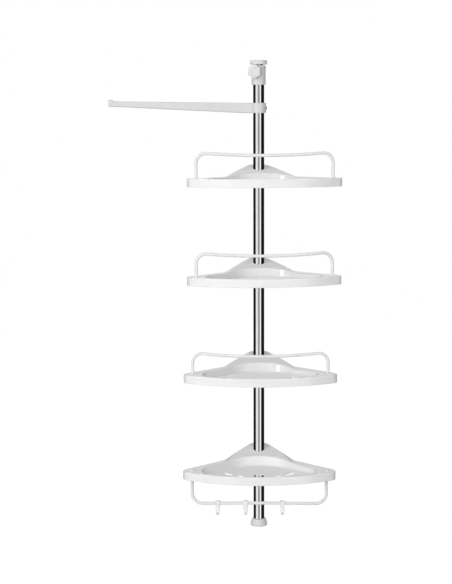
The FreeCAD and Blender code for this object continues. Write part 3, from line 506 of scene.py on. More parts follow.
# Rings of a hexagon from the back to the front, where each blends into the dish's circle.
def knobMesh():
    turn = np.linspace(0, math.pi / 2, 6)
    rows = []

    def row(inset, height, blend=0.0):
        ring = hexagonRing(inset)
        if blend:
            spoke = np.arctan2(ring[:, 1], ring[:, 0])
            ring = ring * (1 - blend) + blend * onCircle(knob["dishRadius"], spoke)
        rows.append(lifted(ring, height))

    back, front, face = knob["back"], knob["front"], knob["face"]
    row(knob["middle"], back, 1.0)
    for step in turn:
        row(face * (1 - math.sin(step)), back + face * (1 - math.cos(step)))
    for step in turn:
        row(face * (1 - math.cos(step)), front - face * (1 - math.sin(step)))
    row(face + 2.0, front, 0.5)
    row(knob["middle"], front, 1.0)
    points = np.stack(rows)
    # the dish's wall: depth = dish * sin^2(share * pi / 2) as it comes inwards; its floor is flat
    last = points[-1]
    share = np.linspace(0, 1, 6)[1:, None, None]
    depth = np.broadcast_to(knob["dish"] * np.sin(share * math.pi / 2) ** 2, (5, len(last), 1))
    wall = np.concatenate([last[None, :, :2] * (1 - knob["dishWall"] * share), front - depth], -1)
    points = np.concatenate([points, wall])
    part = patch(points, False, ((0, 0, back), (0, 0, front - knob["dish"])))
    return meshOf([placed(part, knobAxes, knobShift)], 30)


dress("clamp_knob", knobMesh(), "clamp_plastic")
spindle = {"axis": 0.0, "shoe": 4.5, "shoeBack": 9.8, "shoeFront": 11.8, "rod": 3.0, "front": 25.0}
spindleProfile = named(spindle, "axis shoeBack", "shoe shoeBack", "shoe shoeFront", "rod shoeFront",
                       "rod front", "axis front")
dress("clamp_spindle", [placed(spun(spindleProfile, 48), knobAxes, knobShift)])

plunger = {"axis": 0.0, "radius": 19.0, "low": 1062.4, "high": 1066.4, "top": 1071.4, "stem": 8.42,
           "stemLow": 1000.4, "centre": 0.5, "spigot": foot["spigot"], "spigotDepth": 2.0, "floor": 1064.42,
           "slot": 1.8, "slotReach": 12.5}
stemCorners = named(plunger, "centre stemLow", "stem stemLow", "stem low", "radius low", "radius high",
                    "spigot high", "spigot floor", "centre floor")
stemProfile = np.concatenate([named(plunger, "axis stemLow"), softened(
    stemCorners, (0, 0.6, 0.4, 1.1, 0.3, 0, 0, 0)), named(plunger, "axis floor")])
# the pin's slot: a circle pulled apart by its reach both ways, laid across the stem
slotAngle = np.linspace(0, 2 * math.pi, 48, endpoint=False)
slotShape = onCircle(plunger["slot"], slotAngle)
slotShape[:, 1] += plunger["slotReach"] * np.sign(np.sin(slotAngle) + 1e-9)
slotHeight = pinHeight - plunger["slotReach"]
slotPath = np.array([[-12, 0, slotHeight], [12, 0, slotHeight]], float)
plungerSlot = meshOf([swept(slotPath, slotShape, (0, 1, 0))])
dress("ceiling_plunger", outward(carved(meshOf([spun(stemProfile)]), plungerSlot)))
topPad = padProfile(plunger["top"], plunger["high"], plunger["high"] - plunger["spigotDepth"])
dress("ceiling_pad", [spun(topPad[::-1])])

print("trays: rim, basin, raised back and drain slots")

tray = {"corner": 40.5, "frontCentre": 95.0, "frontRadius": 296.0, "earRadius": 20.0, "backRadius": 25.0,
        "skirt": -18.8, "wall": 2.5, "sideMargin": 28.0, "basinBack": 92.0, "basinEnd": 38.0,
        "basinFront": 290.0, "floor": -13.0, "floorRadius": 4.0, "draft": 1.6, "innerEdge": 4.0,
        "outerEdge": 1.7, "lip": 0.8, "crease": 2.5, "middle": -130.0, "counts": (22, 46, 22, 44)}


# Centre of the rounding where the side y = reach - x meets the front arc of a given radius.
def endCentre(reach, front, rounding):
    inner = reach - rounding * math.sqrt(2)
    gap = inner - tray["frontCentre"]
    x = (gap + math.sqrt(2 * (front - rounding) ** 2 - gap * gap)) / 2
    return x, inner - x


tray["earX"], tray["earY"] = endCentre(tray["corner"], tray["frontRadius"], tray["earRadius"])
tray["backY"] = tray["corner"] - tray["backRadius"] * math.sqrt(2)
basinCorner = tray["corner"] - tray["sideMargin"] * math.sqrt(2)
tray["basinBackY"] = basinCorner - tray["basinBack"] * math.sqrt(2)
tray["basinEndX"], tray["basinEndY"] = endCentre(basinCorner, tray["basinFront"], tray["basinEnd"])

# heights of the raised back: across (|x|, z), and from front to back (y, z), both softened
acrossHeights = [(0, 26), (22, 26), (31, 22.8), (78, 0), (400, 0)]
depthHeights = [(-400, 0), (-75, 0), (-36, 8.7), (-12.5, 13), (20, 26), (400, 26)]


# A height table every half millimetre, softened by a bell curve exp(-d^2 / (2 * sigma^2)).
def softTable(points, low, high, sigma):
    at = np.arange(low, high + 0.5, 0.5)
    spots, heights = np.array(points, float).T
    kernel = np.exp(-0.5 * (np.arange(-40, 41) * 0.5 / sigma) ** 2)
    padded = np.interp(np.arange(low - 20, high + 20.5, 0.5), spots, heights)
    return at, np.convolve(padded, kernel / kernel.sum(), "valid")


mirroredAcross = [(-x, z) for x, z in acrossHeights[::-1]] + acrossHeights[1:]
acrossTable = softTable(mirroredAcross, -180, 180, 3.2)
depthTable = softTable(depthHeights, -220, 60, 3.0)


# Height of the tray's upper surface above its rim's plane: the smaller of the height across and
# the height in depth, with their crease rounded: min(a, b) - k/4 * (1 - |a - b|/k)^2. The
# rounding fades out over the lowest 3 mm.
def surfaceHeight(x, y):
    a = np.interp(x, *acrossTable)
    b = np.interp(y, *depthTable)
    crease, smaller = tray["crease"], np.minimum(a, b)
    near = np.clip(1 - np.abs(a - b) / crease, 0, 1)
    return np.maximum(smaller - crease / 4 * near ** 2 * np.clip(smaller / 3, 0, 1), 0)


# One closed plan line as arcs and a straight: half of it is back arc, side, end arc, front arc,
# given as (centre y, radius), (centre x, centre y, radius), (centre y, radius); then mirrored.
def planRing(back, end, front, counts):
    meet = math.atan2(end[1] - front[0], end[0])
    quarter = math.pi / 4

    def arc(cx, cy, radius, first, last, count):
        angle = np.linspace(first, last, count, endpoint=False)
        return onCircle(radius, angle) + (cx, cy)

    backPart = arc(0, back[0], back[1], math.pi / 2, quarter, counts[0])
    sideStart = np.array([back[1] * math.cos(quarter), back[0] + back[1] * math.sin(quarter)])
    sideEnd = np.array([end[0] + end[2] * math.cos(quarter), end[1] + end[2] * math.sin(quarter)])
    share = np.linspace(0, 1, counts[1], endpoint=False)[:, None]
    sidePart = sideStart + (sideEnd - sideStart) * share
    endPart = arc(end[0], end[1], end[2], quarter, meet, counts[2])
    frontPart = arc(0, front[0], front[1], meet, -math.pi / 2, counts[3])
    last = np.array([[0, front[0] - front[1]]])
    half = np.concatenate([backPart, sidePart, endPart, frontPart, last])
    return np.concatenate([half, half[-2:0:-1] * (-1, 1)])


def outerRing(inset):
    return planRing((tray["backY"], tray["backRadius"] - inset),
                    (tray["earX"], tray["earY"], tray["earRadius"] - inset),
                    (tray["frontCentre"], tray["frontRadius"] - inset), tray["counts"])


def basinRing(grow):
    return planRing((tray["basinBackY"], tray["basinBack"] + grow),
                    (tray["basinEndX"], tray["basinEndY"], tray["basinEnd"] + grow),
                    (tray["frontCentre"], tray["basinFront"] + grow), tray["counts"])


# The whole moulding as one closed surface: rows run from the basin's floor up its wall, over the
# rim, down the skirt, back up inside it, and under the basin to the middle of its underside.
def trayShell():
    rows = []
    middle = np.array([[0, tray["middle"]]])
    quarter = np.linspace(0, math.pi / 2, 6)

    def row(ring, height):
        rows.append(lifted(ring, height))

    def top(ring):
        return surfaceHeight(ring[:, 0], ring[:, 1])

    floor, bend, draft = tray["floor"], tray["floorRadius"], tray["draft"]
    inside = basinRing(-draft - bend)
    for share in (0.12, 0.35, 0.6, 0.8, 0.92):
        row(middle + (inside - middle) * share, floor)
    for turn in quarter:
        row(basinRing(-draft - bend + bend * math.sin(turn)), floor + bend * (1 - math.cos(turn)))
    edge = tray["innerEdge"]
    brink = top(basinRing(edge)) - edge
    low = floor + bend
    for share in (0.33, 0.67):
        row(basinRing(-draft * (1 - share)), low + (brink - low) * share)
    for turn in quarter:
        row(basinRing(edge * (1 - math.cos(turn))), brink + edge * math.sin(turn))
    start, stop = basinRing(edge), outerRing(tray["outerEdge"])
    for share in np.linspace(0, 1, 30)[1:]:
        ring = start + (stop - start) * share
        row(ring, top(ring))
    edge = tray["outerEdge"]
    crown = top(stop)
    for turn in quarter[1:]:
        row(outerRing(edge * (1 - math.sin(turn))), crown - edge * (1 - math.cos(turn)))
    lip, bottom, wall = tray["lip"], tray["skirt"], tray["wall"]
    row(outerRing(0), (crown - edge + bottom) / 2)
    for turn in quarter:
        row(outerRing(lip * (1 - math.cos(turn))), bottom + lip * (1 - math.sin(turn)))
    for turn in quarter:
        row(outerRing(wall - lip + lip * math.sin(turn)), bottom + lip * (1 - math.cos(turn)))
    under = outerRing(wall)
    row(under, (bottom + top(under) - wall) / 2)
    row(under, top(under) - wall)
    beside = basinRing(wall)
    for share in np.linspace(0, 1, 12)[1:]:
        ring = under + (beside - under) * share
        row(ring, top(ring) - wall)
    row(basinRing(wall - draft), low)
    for turn in quarter[::2]:
        row(basinRing(wall - draft - (bend + wall) * (1 - math.cos(turn))),
            low - (bend + wall) * math.sin(turn))
    below = basinRing(-draft - bend)
    for share in (0.7, 0.35, 0.12):
        row(middle + (below - middle) * share, floor - wall)
    points = np.stack(rows)
    tips = ((0, tray["middle"], floor), (0, tray["middle"], floor - wall))
    return meshOf([patch(points, False, tips)])


drains = {"arcCentre": -48.0, "arcRadius": 97.0, "arcWidth": 14.0, "arcs": ((20.5, 32), (36.5, 54)),
          "front": -143.0, "depth": 22.0, "width": 24.0, "corner": 4.0, "low": -20.0, "high": -9.0}


# A drain slot's cutter: an upright block on a plan with rounded corners.
def drainCutter(corners, cornerRadii):
    plan = softened(corners, np.array(cornerRadii) * drains["corner"])
    points = np.stack([lifted(plan, drains["low"]), lifted(plan, drains["high"])])
    return patch(points, False, (points[0].mean(0), points[1].mean(0)))


# The side slots are pieces of a ring, the middle one is a rectangle.
def drainCutters():
    front, half = drains["front"], drains["width"] / 2
    back = front + drains["depth"]
    made = [drainCutter([(half, back), (-half, back), (-half, front), (half, front)], [1] * 4)]
    for first, last in drains["arcs"]:
        angle = np.radians(np.linspace(first, last, 5) - 90)
        outer, inner = (onCircle(drains["arcRadius"] + side * drains["arcWidth"] / 2, angle)
                        for side in (1, -1))
        ring = np.concatenate([outer, inner[::-1]]) + (0, drains["arcCentre"])
        for side in (1, -1):
            made.append(drainCutter(ring * (side, 1), [1, 0, 0, 0, 1] * 2))
    return made


# the hub's seat is a cone for the sleeve, and "inside" is how far its top lies below the tray's
# surface, within the wall
hub = {"radius": 18.5, "bore": 13.3, "seatLow": 15.93, "seatHigh": 14.66, "seatTop": 9.8, "hole": 13.0,
       "edge": 0.5, "seatEdge": 0.3, "seatLead": 0.4, "halfway": -8.0, "inside": 1.2, "segments": 96}


# The hub under the raised back: a ring whose top follows the tray's surface from below.
def hubPart():
    angle = np.arange(hub["segments"]) * 2 * math.pi / hub["segments"]
    low, edge = tray["skirt"], hub["edge"]
    rows = []
    for radius, height in ((hub["radius"], None), (hub["radius"], hub["halfway"]),
                           (hub["radius"], low + edge), (hub["radius"] - edge, low),
                           (hub["seatLow"] + hub["seatEdge"], low),
                           (hub["seatLow"], low + hub["seatLead"]), (hub["seatHigh"], hub["seatTop"]),
                           (hub["bore"], hub["seatTop"]), (hub["bore"], None)):
        x, y = radius * np.cos(angle), radius * np.sin(angle)
        z = surfaceHeight(x, y) - hub["inside"] if height is None else np.full(len(angle), height)
        rows.append(np.stack([x, y, z], -1))
    return patch(np.stack(rows), True)


earBoss = {"radius": 7.5, "bore": 3.6, "low": -16.0, "high": 0.8}


# The shell without its slots and pole hole, with the hub and the two screw bosses laid inside it.
def trayMesh():
    cutters = drainCutters()
    cutters.append(spun([(0, 2), (hub["hole"], 2), (hub["hole"], 40), (0, 40)], 96))
    shell = carved(trayShell(), meshOf(cutters))
    boss = turned(ringProfile(earBoss["radius"], earBoss["bore"], earBoss["low"], earBoss["high"],
                              (0.4, 0.5, 0.3, 0.2), 4), 48)
    ears = [placed(boss, None, (side * tray["earX"], tray["earY"], 0)) for side in (1, -1)]
    return joined(shell, meshOf([hubPart()] + ears), 32)


# each level's height, its turn about the pole in degrees, and how far its rail's corners stand
# above it
levels = {"top": (812.6, 5.5, 54.0), "upper": (598.7, 5.2, 50.5), "lower": (381.9, 1.4, 46.5),
          "bottom": (164.0, 0.3, None)}
# the sleeve is a split cone in the hub's seat, and "split" is half the width of its slit
sleeve = {"lowRadius": 15.8, "highRadius": 14.6, "low": -18.3, "high": 9.5, "bore": pole["radius"] + 0.08,
          "split": 1.0, "middle": 14.0}
oneTray = trayMesh()
for level, (height, turn, rise) in levels.items():
    copy = oneTray.copy()
    copy.transform(Matrix.Translation((0, 0, height * 0.001)) @ Matrix.Rotation(math.radians(turn), 4, "Z"))
    dress(level + "_tray", copy, mirrored=False)
    half = math.degrees(sleeve["split"] / sleeve["middle"])
    corners = named(sleeve, "lowRadius low", "highRadius high", "bore high", "bore low")
    cone = turned(softened(corners, (0.4, 0.4, 0.2, 0.2), 4), 90, arc=(90 + half, 450 - half))
    dress(level + "_sleeve", [onPole(cone, turn, height)], mirrored=False)

print("rails, hooks and screws")

# "hang" is how far the hanging rail's corners lie below the bottom tray's skirt
rail = {"wire": 3.5, "corner": 22.0, "bow": 14.0, "sag": 4.7, "leg": 60.0, "hang": 55.0}


# The rail's centre line: leg, bend, one long arc that bows forwards and sags, bend, leg. The arc
# is centre + R * (x-axis * sin t + lean * cos t), and each bend turns from upright to its end.
def railLine():
    half, bend = tray["earX"], rail["corner"]
    depth = math.hypot(rail["bow"], rail["sag"])
    swing = 2 * math.atan(depth / (half - bend))
    lean = np.array([0, -rail["bow"] / depth, -rail["sag"] / depth])
    way = np.array([-math.cos(swing), 0, 0]) + lean * math.sin(swing)
    flat = np.array([way[0], way[1], 0])
    flat /= np.linalg.norm(flat)
    knee = np.array([half, 0, -bend])
    angle = np.linspace(0, math.acos(way[2]), 15)[:, None]
    bendPart = knee + flat * bend * (1 - np.cos(angle)) + np.array([0, 0, 1.0]) * bend * np.sin(angle)
    start = bendPart[-1]
    radius = start[0] / math.sin(swing)
    centre = start - np.array([math.sin(swing) * radius, 0, 0]) - lean * math.cos(swing) * radius
    sweep = np.linspace(swing, 0, 50)[1:, None]
    arcPart = centre + np.array([1.0, 0, 0]) * radius * np.sin(sweep) + lean * radius * np.cos(sweep)
    legEnd = np.array([half, 0, -rail["leg"]])
    legPart = legEnd + (knee - legEnd) * np.linspace(0, 1, 8, endpoint=False)[:, None]
    right = np.concatenate([legPart, bendPart, arcPart])
    return np.concatenate([right, right[-2::-1] * (-1, 1, 1)]), centre, radius, lean


railPath, arcCentre, arcRadius, arcLean = railLine()


# The wire: a circle carried along the centre line, which is upside down for the hanging rail.
def railPart(height, turn, upsideDown):
    path = railPath * (-1, 1, -1) if upsideDown else railPath
    path = path + (0, tray["earY"], 0)
    wire = onCircle(rail["wire"], np.arange(32) * 2 * math.pi / 32)
    return onPole(swept(path, wire, (0, 1, 0)), turn, height)


# "head" and "rise" are the head's radius and height, "cross" and "depth" those of its recess
railScrew = {"head": 5.5, "rise": 2.2, "cross": 2.6, "depth": 1.0, "shank": 2.0, "root": -0.5,
             "length": 15.0, "hangingLength": 22.0}
clampScrew = {"head": 3.75, "rise": 2.5, "cross": 1.9, "depth": 1.2, "seat": 6.5, "shank": 2.0,
              "tip": 1.6, "tipAt": -9.5, "reach": 19.25}


# A pan head with a cross recess: height = rise * (0.45 + 0.55 * sqrt(1 - (r / radius)^4)), less
# the cross where the smaller of |x| and |y| is below a fifth of the cross's reach.
def screwHead(screw):
    angle = np.arange(72) * 2 * math.pi / 72
    radius, height, cross = screw["head"], screw["rise"], screw["cross"]
    share = np.linspace(0.03, 1, 26)
    r, a = np.meshgrid(share * radius, angle, indexing="ij")
    x, y = r * np.cos(a), r * np.sin(a)
    dome = height * (0.45 + 0.55 * np.sqrt(np.clip(1 - (r / radius) ** 4, 0, 1)))
    smaller, larger = np.minimum(np.abs(x), np.abs(y)), np.maximum(np.abs(x), np.abs(y))
    mark = np.clip((cross / 5 - smaller) / 0.25, 0, 1) * np.clip((cross - larger) / 0.4, 0, 1)
    top = np.stack([x, y, dome - screw["depth"] * mark], -1)
    side = np.stack([radius * np.cos(angle), radius * np.sin(angle), np.zeros(len(angle))], -1)[None]
    points = np.concatenate([side, top[::-1]])
    return patch(points, False, ((0, 0, 0), (0, 0, height - screw["depth"])))


# A closed cap: radius * cos(t)^0.55 at height * sin(t).
def capHead(screw):
    turn = np.linspace(0, math.pi / 2, 12)
    profile = np.stack([screw["head"] * np.cos(turn) ** 0.55, screw["rise"] * np.sin(turn)], -1)
    profile[-1, 0] = 0
    return spun(np.concatenate([[(0, 0)], profile]), 48)


# Two screws from below with cross heads, or from above with caps.
def railScrews(height, turn, length, capped):
    parts = []
    for side in (1, -1):
        shank = spun(rodProfile(railScrew["shank"], railScrew["root"], length), 24)
        head = capHead(railScrew) if capped else screwHead(railScrew)
        head = placed(head, np.diag([1, -1, -1]))
        if capped:
            flip = np.diag([-1, 1, -1])
            shank, head = placed(shank, flip), placed(head, flip)
        at = (side * tray["earX"], tray["earY"], 0)
        parts += [onPole(placed(piece, None, at), turn, height) for piece in (shank, head)]
    return parts


def dressRail(place, turn, railHeight, screwHeight, length, hanging=False):
    dress(place + "_rail", [railPart(railHeight, turn, hanging)], mirrored=False)
    dress(place + "_rail_screws", railScrews(screwHeight, turn, length, hanging))


for level, (height, turn, rise) in levels.items():
    if rise:
        dressRail(level, turn, height + rise, height + earBoss["low"], railScrew["length"])
bottomHeight, hangTurn = levels["bottom"][:2]
hangHeight = bottomHeight + tray["skirt"] - rail["hang"]
dressRail("hanging", hangTurn, hangHeight, bottomHeight + earBoss["high"], railScrew["hangingLength"], True)

hook = {"inner": 3.8, "thickness": 2.6, "width": 10.0, "tipWidth": 5.8, "drop": 16.8, "bend": 4.0,
        "endRound": 1.2, "spots": {"left": -92.0, "middle": -30.0, "right": 51.0}}


# A strap along a path, with a rounded rectangle of its own at each step.
def strap(path, widths, thicks):
    sections = [rectangle(width / 2, thick / 2, min(0.75, thick / 2.05), 5)
                for width, thick in zip(widths, thicks)]
    return swept(path, np.stack(sections), (1, 0, 0))


# A path given as (y, z), laid at x = 0.
def upright(points):
    return np.concatenate([np.zeros((len(points), 1)), points], 1)


# One strap goes over the wire, down and round to its tip, and a second one is the snap lip under
# the wire. Their ends are rounded: thickness * sqrt(1 - (1 - distance / endRound)^2).
def hookParts(spot):
    middle, drop = hook["inner"] + hook["thickness"] / 2, hook["drop"]
    centre = -(hook["inner"] + hook["thickness"]) - hook["bend"]
    bow = hook["bend"] + hook["thickness"] / 2
    over = onCircle(middle, np.linspace(0, math.pi, 24))
    down = [(-middle, z) for z in np.linspace(-1.5, -drop, 14)]
    tip = (centre, -drop) + onCircle(bow, -np.linspace(0, math.pi, 18)[1:])
    lift = [(centre - bow, -drop + 0.6), (centre - bow, -drop + 1.1)]
    path = upright(np.concatenate([over, down, tip, lift]))
    gone = np.concatenate([[0], np.cumsum(np.linalg.norm(np.diff(path, axis=0), axis=1))])
    ends = np.minimum(gone, gone[-1] - gone)
    share = ends / hook["endRound"]
    thick = hook["thickness"] * np.sqrt(np.clip(1 - (1 - np.clip(share, 0.02, 1)) ** 2, 0.02, 1))
    narrow = hook["tipWidth"]
    wide = np.interp(path[:, 2], [-drop - hook["bend"], -drop], [narrow, hook["width"]])
    wide = np.where(path[:, 1] < centre, narrow, wide)
    wide = wide * np.sqrt(np.clip(1 - 0.35 * (1 - np.clip(share, 0, 1)) ** 2, 0.2, 1))
    main = strap(path, wide, thick)
    lip = upright(onCircle(middle, np.linspace(math.pi - 0.05, 1.5 * math.pi, 12)))
    lipEnd = np.clip((np.linspace(0, 1, 12) - 0.8) / 0.2, 0, 0.98)
    lipThick = hook["thickness"] * np.sqrt(np.clip(1 - lipEnd ** 2, 0.03, 1))
    lipPart = strap(lip, np.full(12, hook["width"] - 0.05), lipThick)
    # each hook stands square to the wire: its axes turn with the rail's arc at its spot
    swing = math.asin(spot / arcRadius)
    x = np.array([1.0, 0, 0])
    lean = arcLean * (1, 1, -1)
    normal = np.cross(lean, x)
    tangent = x * math.cos(swing) - lean * math.sin(swing)
    leanNow = lean * math.cos(swing) + x * math.sin(swing)
    turnAxes = np.stack([tangent, leanNow, normal], 1) @ np.stack([x, lean, normal], 1).T
    centreDown = arcCentre * (1, 1, -1)
    at = centreDown + leanNow * arcRadius + (0, tray["earY"], 0)
    hung = [placed(part, turnAxes, at) for part in (main, lipPart)]
    return [onPole(part, hangTurn, hangHeight) for part in hung]


for side, spot in hook["spots"].items():
    dress(side + "_hook", hookParts(spot))

print("towel arm")

arm = {"low": 954.2, "high": 976.6, "collar": 16.5, "bore": 12.58, "length": 339.5, "rise": 5.0,
       "tipHeight": 12.5, "rootThick": 14.0, "tipThick": 9.0, "rounding": 3.0, "tipRound": 2.0,
       "taperStart": 30.0, "taperEnd": 325.0, "nubLength": 10.5, "nubHeight": 3.5, "nubAt": 327.0,
       "clampHeading": 60.0, "earRoot": 13.4, "earReach": 23.0, "earWidth": 13.0, "slit": 2.0,
       "slitRadius": 14.5}


# The bar as sections across -X: top line, lower line and thickness are functions of the reach,
# and the nub at the tip rises by 3 s^2 - 2 s^3 of its height over 3 mm.
def armBar():
    reach = np.concatenate([[12.0], np.linspace(14, 326, 60), np.linspace(327, 331, 9),
                            np.linspace(331.5, 337.5, 8)])
    top = arm["high"] + arm["rise"] * reach / (arm["length"] - arm["nubLength"])
    top = np.minimum(top, arm["high"] + arm["rise"])
    step = np.clip((reach - arm["nubAt"]) / 3.0, 0, 1)
    top = top + arm["nubHeight"] * step * step * (3 - 2 * step)
    endLow = arm["high"] + arm["rise"] - arm["tipHeight"]
    low = np.interp(reach, [0, arm["taperStart"] - 12, arm["taperStart"] + 14, arm["taperEnd"] - 10,
                            arm["taperEnd"] + 10, 400],
                    [arm["low"], arm["low"], arm["low"] + 0.5, endLow - 0.3, endLow, endLow])
    thick = arm["rootThick"] + (arm["tipThick"] - arm["rootThick"]) * reach / arm["length"]
    # the tip is rounded: the last rows shrink on a quarter circle
    turn = np.linspace(0, math.pi / 2, 7)[1:]
    tipRound = arm["tipRound"]
    reach = np.concatenate([reach, arm["length"] - tipRound + tipRound * np.sin(turn)])
    shrink = np.concatenate([np.zeros(len(top)), tipRound * (1 - np.cos(turn))])
    top = np.concatenate([top, np.full(6, top[-1])]) - shrink
    low = np.concatenate([low, np.full(6, low[-1])]) + shrink
    thick = np.concatenate([thick, np.full(6, thick[-1])]) - 2 * shrink
    rows = []
    for x, high, under, wide in zip(reach, top, low, thick):
        rounding = min(arm["rounding"], wide / 2 - 0.1, (high - under) / 2 - 0.1)
        corners = [(wide / 2, under), (wide / 2, high), (-wide / 2, high), (-wide / 2, under)]
        ring = softened(corners, rounding, 7)
        rows.append(np.concatenate([np.full((len(ring), 1), -x), ring], 1))
    points = np.stack(rows)
    return patch(points, False, (points[0].mean(0), points[-1].mean(0)))


# A block whose edges are all rounded: its plan shrinks on a quarter circle at both ends.
def roundedBox(size, centre, rounding):
    angle = np.linspace(0, math.pi / 2, 5)
    half = np.array(size) / 2
    ends = [(rounding * (1 - math.sin(a)), -half[2] + rounding * (1 - math.cos(a))) for a in angle]
    ends += [(rounding * (1 - math.cos(a)), half[2] - rounding * (1 - math.sin(a))) for a in angle]
    rows = []
    for inset, height in ends:
        ring = rectangle(*(half[:2] - inset), max(rounding - inset, 0.05) + 0.05, 4)
        rows.append(lifted(ring, height))
    points = np.stack(rows)
    part = patch(points, False, ((0, 0, -half[2]), (0, 0, half[2])))
    return placed(part, None, centre)


# The bar, a split collar round the pole, and two clamp ears, one on each side of the slit.
def armParts():
    gap = math.degrees(math.asin(arm["slit"] / 2 / arm["slitRadius"]))
    face = arm["clampHeading"]
    collar = turned(ringProfile(arm["collar"], arm["bore"], arm["low"], arm["high"], (1.0, 1.0, 0.3, 0.3)),
                    120, arc=(face + gap, face + 360 - gap))
    thick = (arm["earWidth"] - arm["slit"]) / 2
    middle = (arm["low"] + arm["high"]) / 2
    size = (arm["earReach"] - arm["earRoot"], thick, arm["high"] - arm["low"])
    ears = []
    for side in (1, -1):
        centre = ((arm["earReach"] + arm["earRoot"]) / 2, side * (arm["slit"] / 2 + thick / 2), middle)
        ears.append(onPole(roundedBox(size, centre, 1.0), face))
    return [armBar(), collar] + ears


dress("towel_arm", armParts(), "clamp_plastic")
acrossEars = aboutPole(arm["clampHeading"]) @ np.array([[1, 0, 0], [0, 0, -1], [0, 1, 0]], float)
boltHeight = (arm["low"] + arm["high"]) / 2
boltSpot = aboutPole(arm["clampHeading"]) @ np.array([clampScrew["reach"], 0, 0]) + (0, 0, boltHeight)
headPart = placed(screwHead(clampScrew), None, (0, 0, clampScrew["seat"]))
shankPart = spun([(0, clampScrew["tipAt"]), (clampScrew["tip"], clampScrew["tipAt"]),
                  (clampScrew["shank"], clampScrew["tipAt"] + 0.4),
                  (clampScrew["shank"], clampScrew["seat"] + 0.1), (0, clampScrew["seat"] + 0.1)], 32)
dress("arm_clamp_screw", [placed(part, acrossEars, boltSpot) for part in (headPart, shankPart)])

print("carried over:", ", ".join(sorted(set(slotOf) - dressed)))
for node in set(slotOf) - dressed:
    look = frame["nodes"][node]
    if look.material_slots:
        for place in look.material_slots:
            place.material = finishes[slotOf[node]]
    else:
        look.data.materials.append(finishes[slotOf[node]])

print("studio: floor, light and camera")

# Each box spans some directions round the object, in radians to the right of its front. Its two
# shares of "power" hold below and above the rise, a pair of heights between which it changes.
boxes = {
    "front": {"power": 0.36, "span": (-0.4, 0.38), "soft": 0.06, "shares": (1.0, 2.2), "rise": (0.04, 0.12)},
    "left": {"power": 1.04, "span": (-1.15, -0.36), "soft": 0.05, "shares": (1.0, 0.7), "rise": (0.04, 0.1)},
    "far left": {"power": 0.35, "span": (-2.0, -1.06), "soft": 0.1, "shares": (0.0, 1.0),
                 "rise": (0.04, 0.12)},
    "right": {"power": 1.18, "span": (0.38, 0.84), "soft": 0.05, "shares": (1.0, 1.0), "rise": (0.05, 0.12)},
    "far right": {"power": 1.18, "span": (0.84, 1.2), "soft": 0.05, "shares": (0.0, 1.0),
                  "rise": (0.05, 0.12)}}
strip = {"power": 10.5, "span": (-0.97, -0.8), "soft": 0.02, "heights": (0.06, 0.36), "heightSoft": 0.015}
studio = {"flags": 0.012, "above": 0.36, "below": 0.3, "backdrop": 0.9, "backdropFrom": (2.85, 3.05),
          "highFrom": (0.55, 0.85), "lowFrom": (0.4, 0.7)}
lamps = {"size": 1.6, "aim": (0, 0, 0.6), "powers": {
    (-1.7, -2.5, 0.7): 11.5, (0.5, -2.9, 1.2): 13.5, (-2.0, 2.2, 0.8): 17.0, (2.0, 2.2, 0.8): 17.0}}
floorPaint = {"half": 3.0, "tone": 0.62, "glow": 1.25, "share": 0.75}


# The world is a studio seen by its direction: soft boxes in front and at both sides, a narrow
# bright strip in the left one, dark flags between them and the white backdrop behind, and an even
# glow above and below. The camera itself sees plain white.
def lightWorld():
    world = bpy.data.worlds.new("studio")
    bpy.context.scene.world = world
    start = emptied(world)
    way = start.node("ShaderNodeTexCoord", output="Generated")
    x, y, up = (start.node("ShaderNodeSeparateXYZ", inputs={0: way}, output=axis) for axis in range(3))
    around = start.maths("ARCTAN2", x, -y)
    glow = studio["flags"]
    for box in boxes.values():
        low, high = box["shares"]
        share = low + (high - low) * up.smooth(*box["rise"])
        glow = glow + box["power"] * around.between(*box["span"], box["soft"]) * share
    heights = up.between(*strip["heights"], strip["heightSoft"])
    glow = glow + strip["power"] * around.between(*strip["span"], strip["soft"]) * heights
    glow = glow + studio["backdrop"] * start.maths("ABSOLUTE", around).smooth(*studio["backdropFrom"])
    high = up.smooth(*studio["highFrom"])
    low = (-up).smooth(*studio["lowFrom"])
    glow = glow * (1.0 - high) * (1.0 - low) + studio["above"] * high + studio["below"] * low
    lit = start.node("ShaderNodeBackground", inputs={"Color": (1, 1, 1, 1), "Strength": glow})
    white = start.node("ShaderNodeBackground", inputs={"Color": (1, 1, 1, 1), "Strength": 1.0})
    seen = start.node("ShaderNodeLightPath", output="Is Camera Ray")
    start.node("ShaderNodeMixShader", inputs={0: seen, 1: lit, 2: white}).show("ShaderNodeOutputWorld")


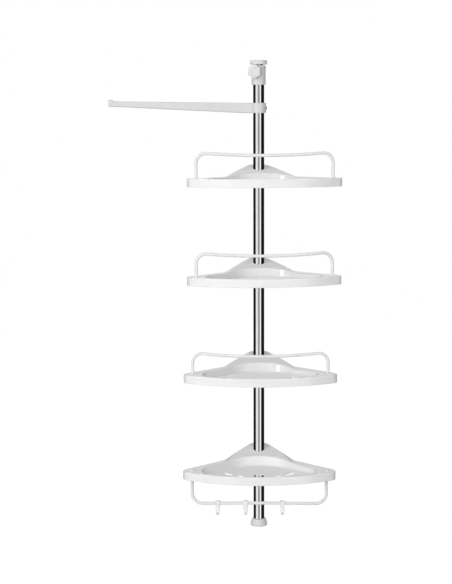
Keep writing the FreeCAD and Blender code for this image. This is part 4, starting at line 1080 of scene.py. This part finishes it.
# Large soft lamps in front and behind light the upright faces; shiny surfaces do not show them.
def hangLamps():
    for number, (place, power) in enumerate(lamps["powers"].items()):
        lamp = bpy.data.lights.new("soft_lamp", "AREA")
        lamp.shape, lamp.size, lamp.energy = "DISK", lamps["size"], power
        thing = newObject("soft_lamp_" + str(number + 1), lamp)
        thing.location = place
        thing.rotation_euler = (Vector(lamps["aim"]) - Vector(place)).to_track_quat("-Z", "Y").to_euler()
        thing.visible_glossy = False


# A flat pale floor: diffuse to light, and mostly plain white to the camera.
def layFloor():
    half, tone = floorPaint["half"], floorPaint["tone"]
    mesh = bpy.data.meshes.new("floor")
    corners = [(-half, -half, 0), (half, -half, 0), (half, half, 0), (-half, half, 0)]
    mesh.from_pydata(corners, [], [[0, 1, 2, 3]])
    paint = bpy.data.materials.new("pale_floor")
    start = emptied(paint)
    matt = start.node("ShaderNodeBsdfDiffuse", inputs={"Color": (tone, tone, tone, 1)})
    white = start.node("ShaderNodeEmission", inputs={"Color": (1, 1, 1, 1), "Strength": floorPaint["glow"]})
    share = start.node("ShaderNodeLightPath", output="Is Camera Ray") * floorPaint["share"]
    start.node("ShaderNodeMixShader", inputs={0: share, 1: matt, 2: white}).show("ShaderNodeOutputMaterial")
    mesh.materials.append(paint)
    floor = newObject("floor", mesh)
    floor.visible_glossy = False


lightWorld()
hangLamps()
layFloor()

# the camera's angles are in degrees, and "roll" turns it about its own line of sight
view = {"place": (0.0, -3.12, 0.9186), "down": 6.78, "left": 1.38, "roll": -0.20, "lens": 84.5}


# The camera looks along +Y from in front, turned a little left and down: its axes are right, up
# and back.
def setCamera():
    down, left, roll = (math.radians(view[name]) for name in ("down", "left", "roll"))
    ahead = Vector((-math.sin(left) * math.cos(down), math.cos(left) * math.cos(down), -math.sin(down)))
    right = Vector((math.cos(left), math.sin(left), 0))
    up = right.cross(ahead)
    side = right * math.cos(roll) + up * math.sin(roll)
    rise = up * math.cos(roll) - right * math.sin(roll)
    lens = bpy.data.cameras.new("camera")
    lens.lens = view["lens"]
    camera = newObject("camera", lens)
    axes = Matrix((side, rise, -ahead)).transposed().to_4x4()
    camera.matrix_world = Matrix.Translation(view["place"]) @ axes
    bpy.context.scene.camera = camera


setCamera()
bpy.context.scene.view_settings.view_transform = "Standard"


print("done")
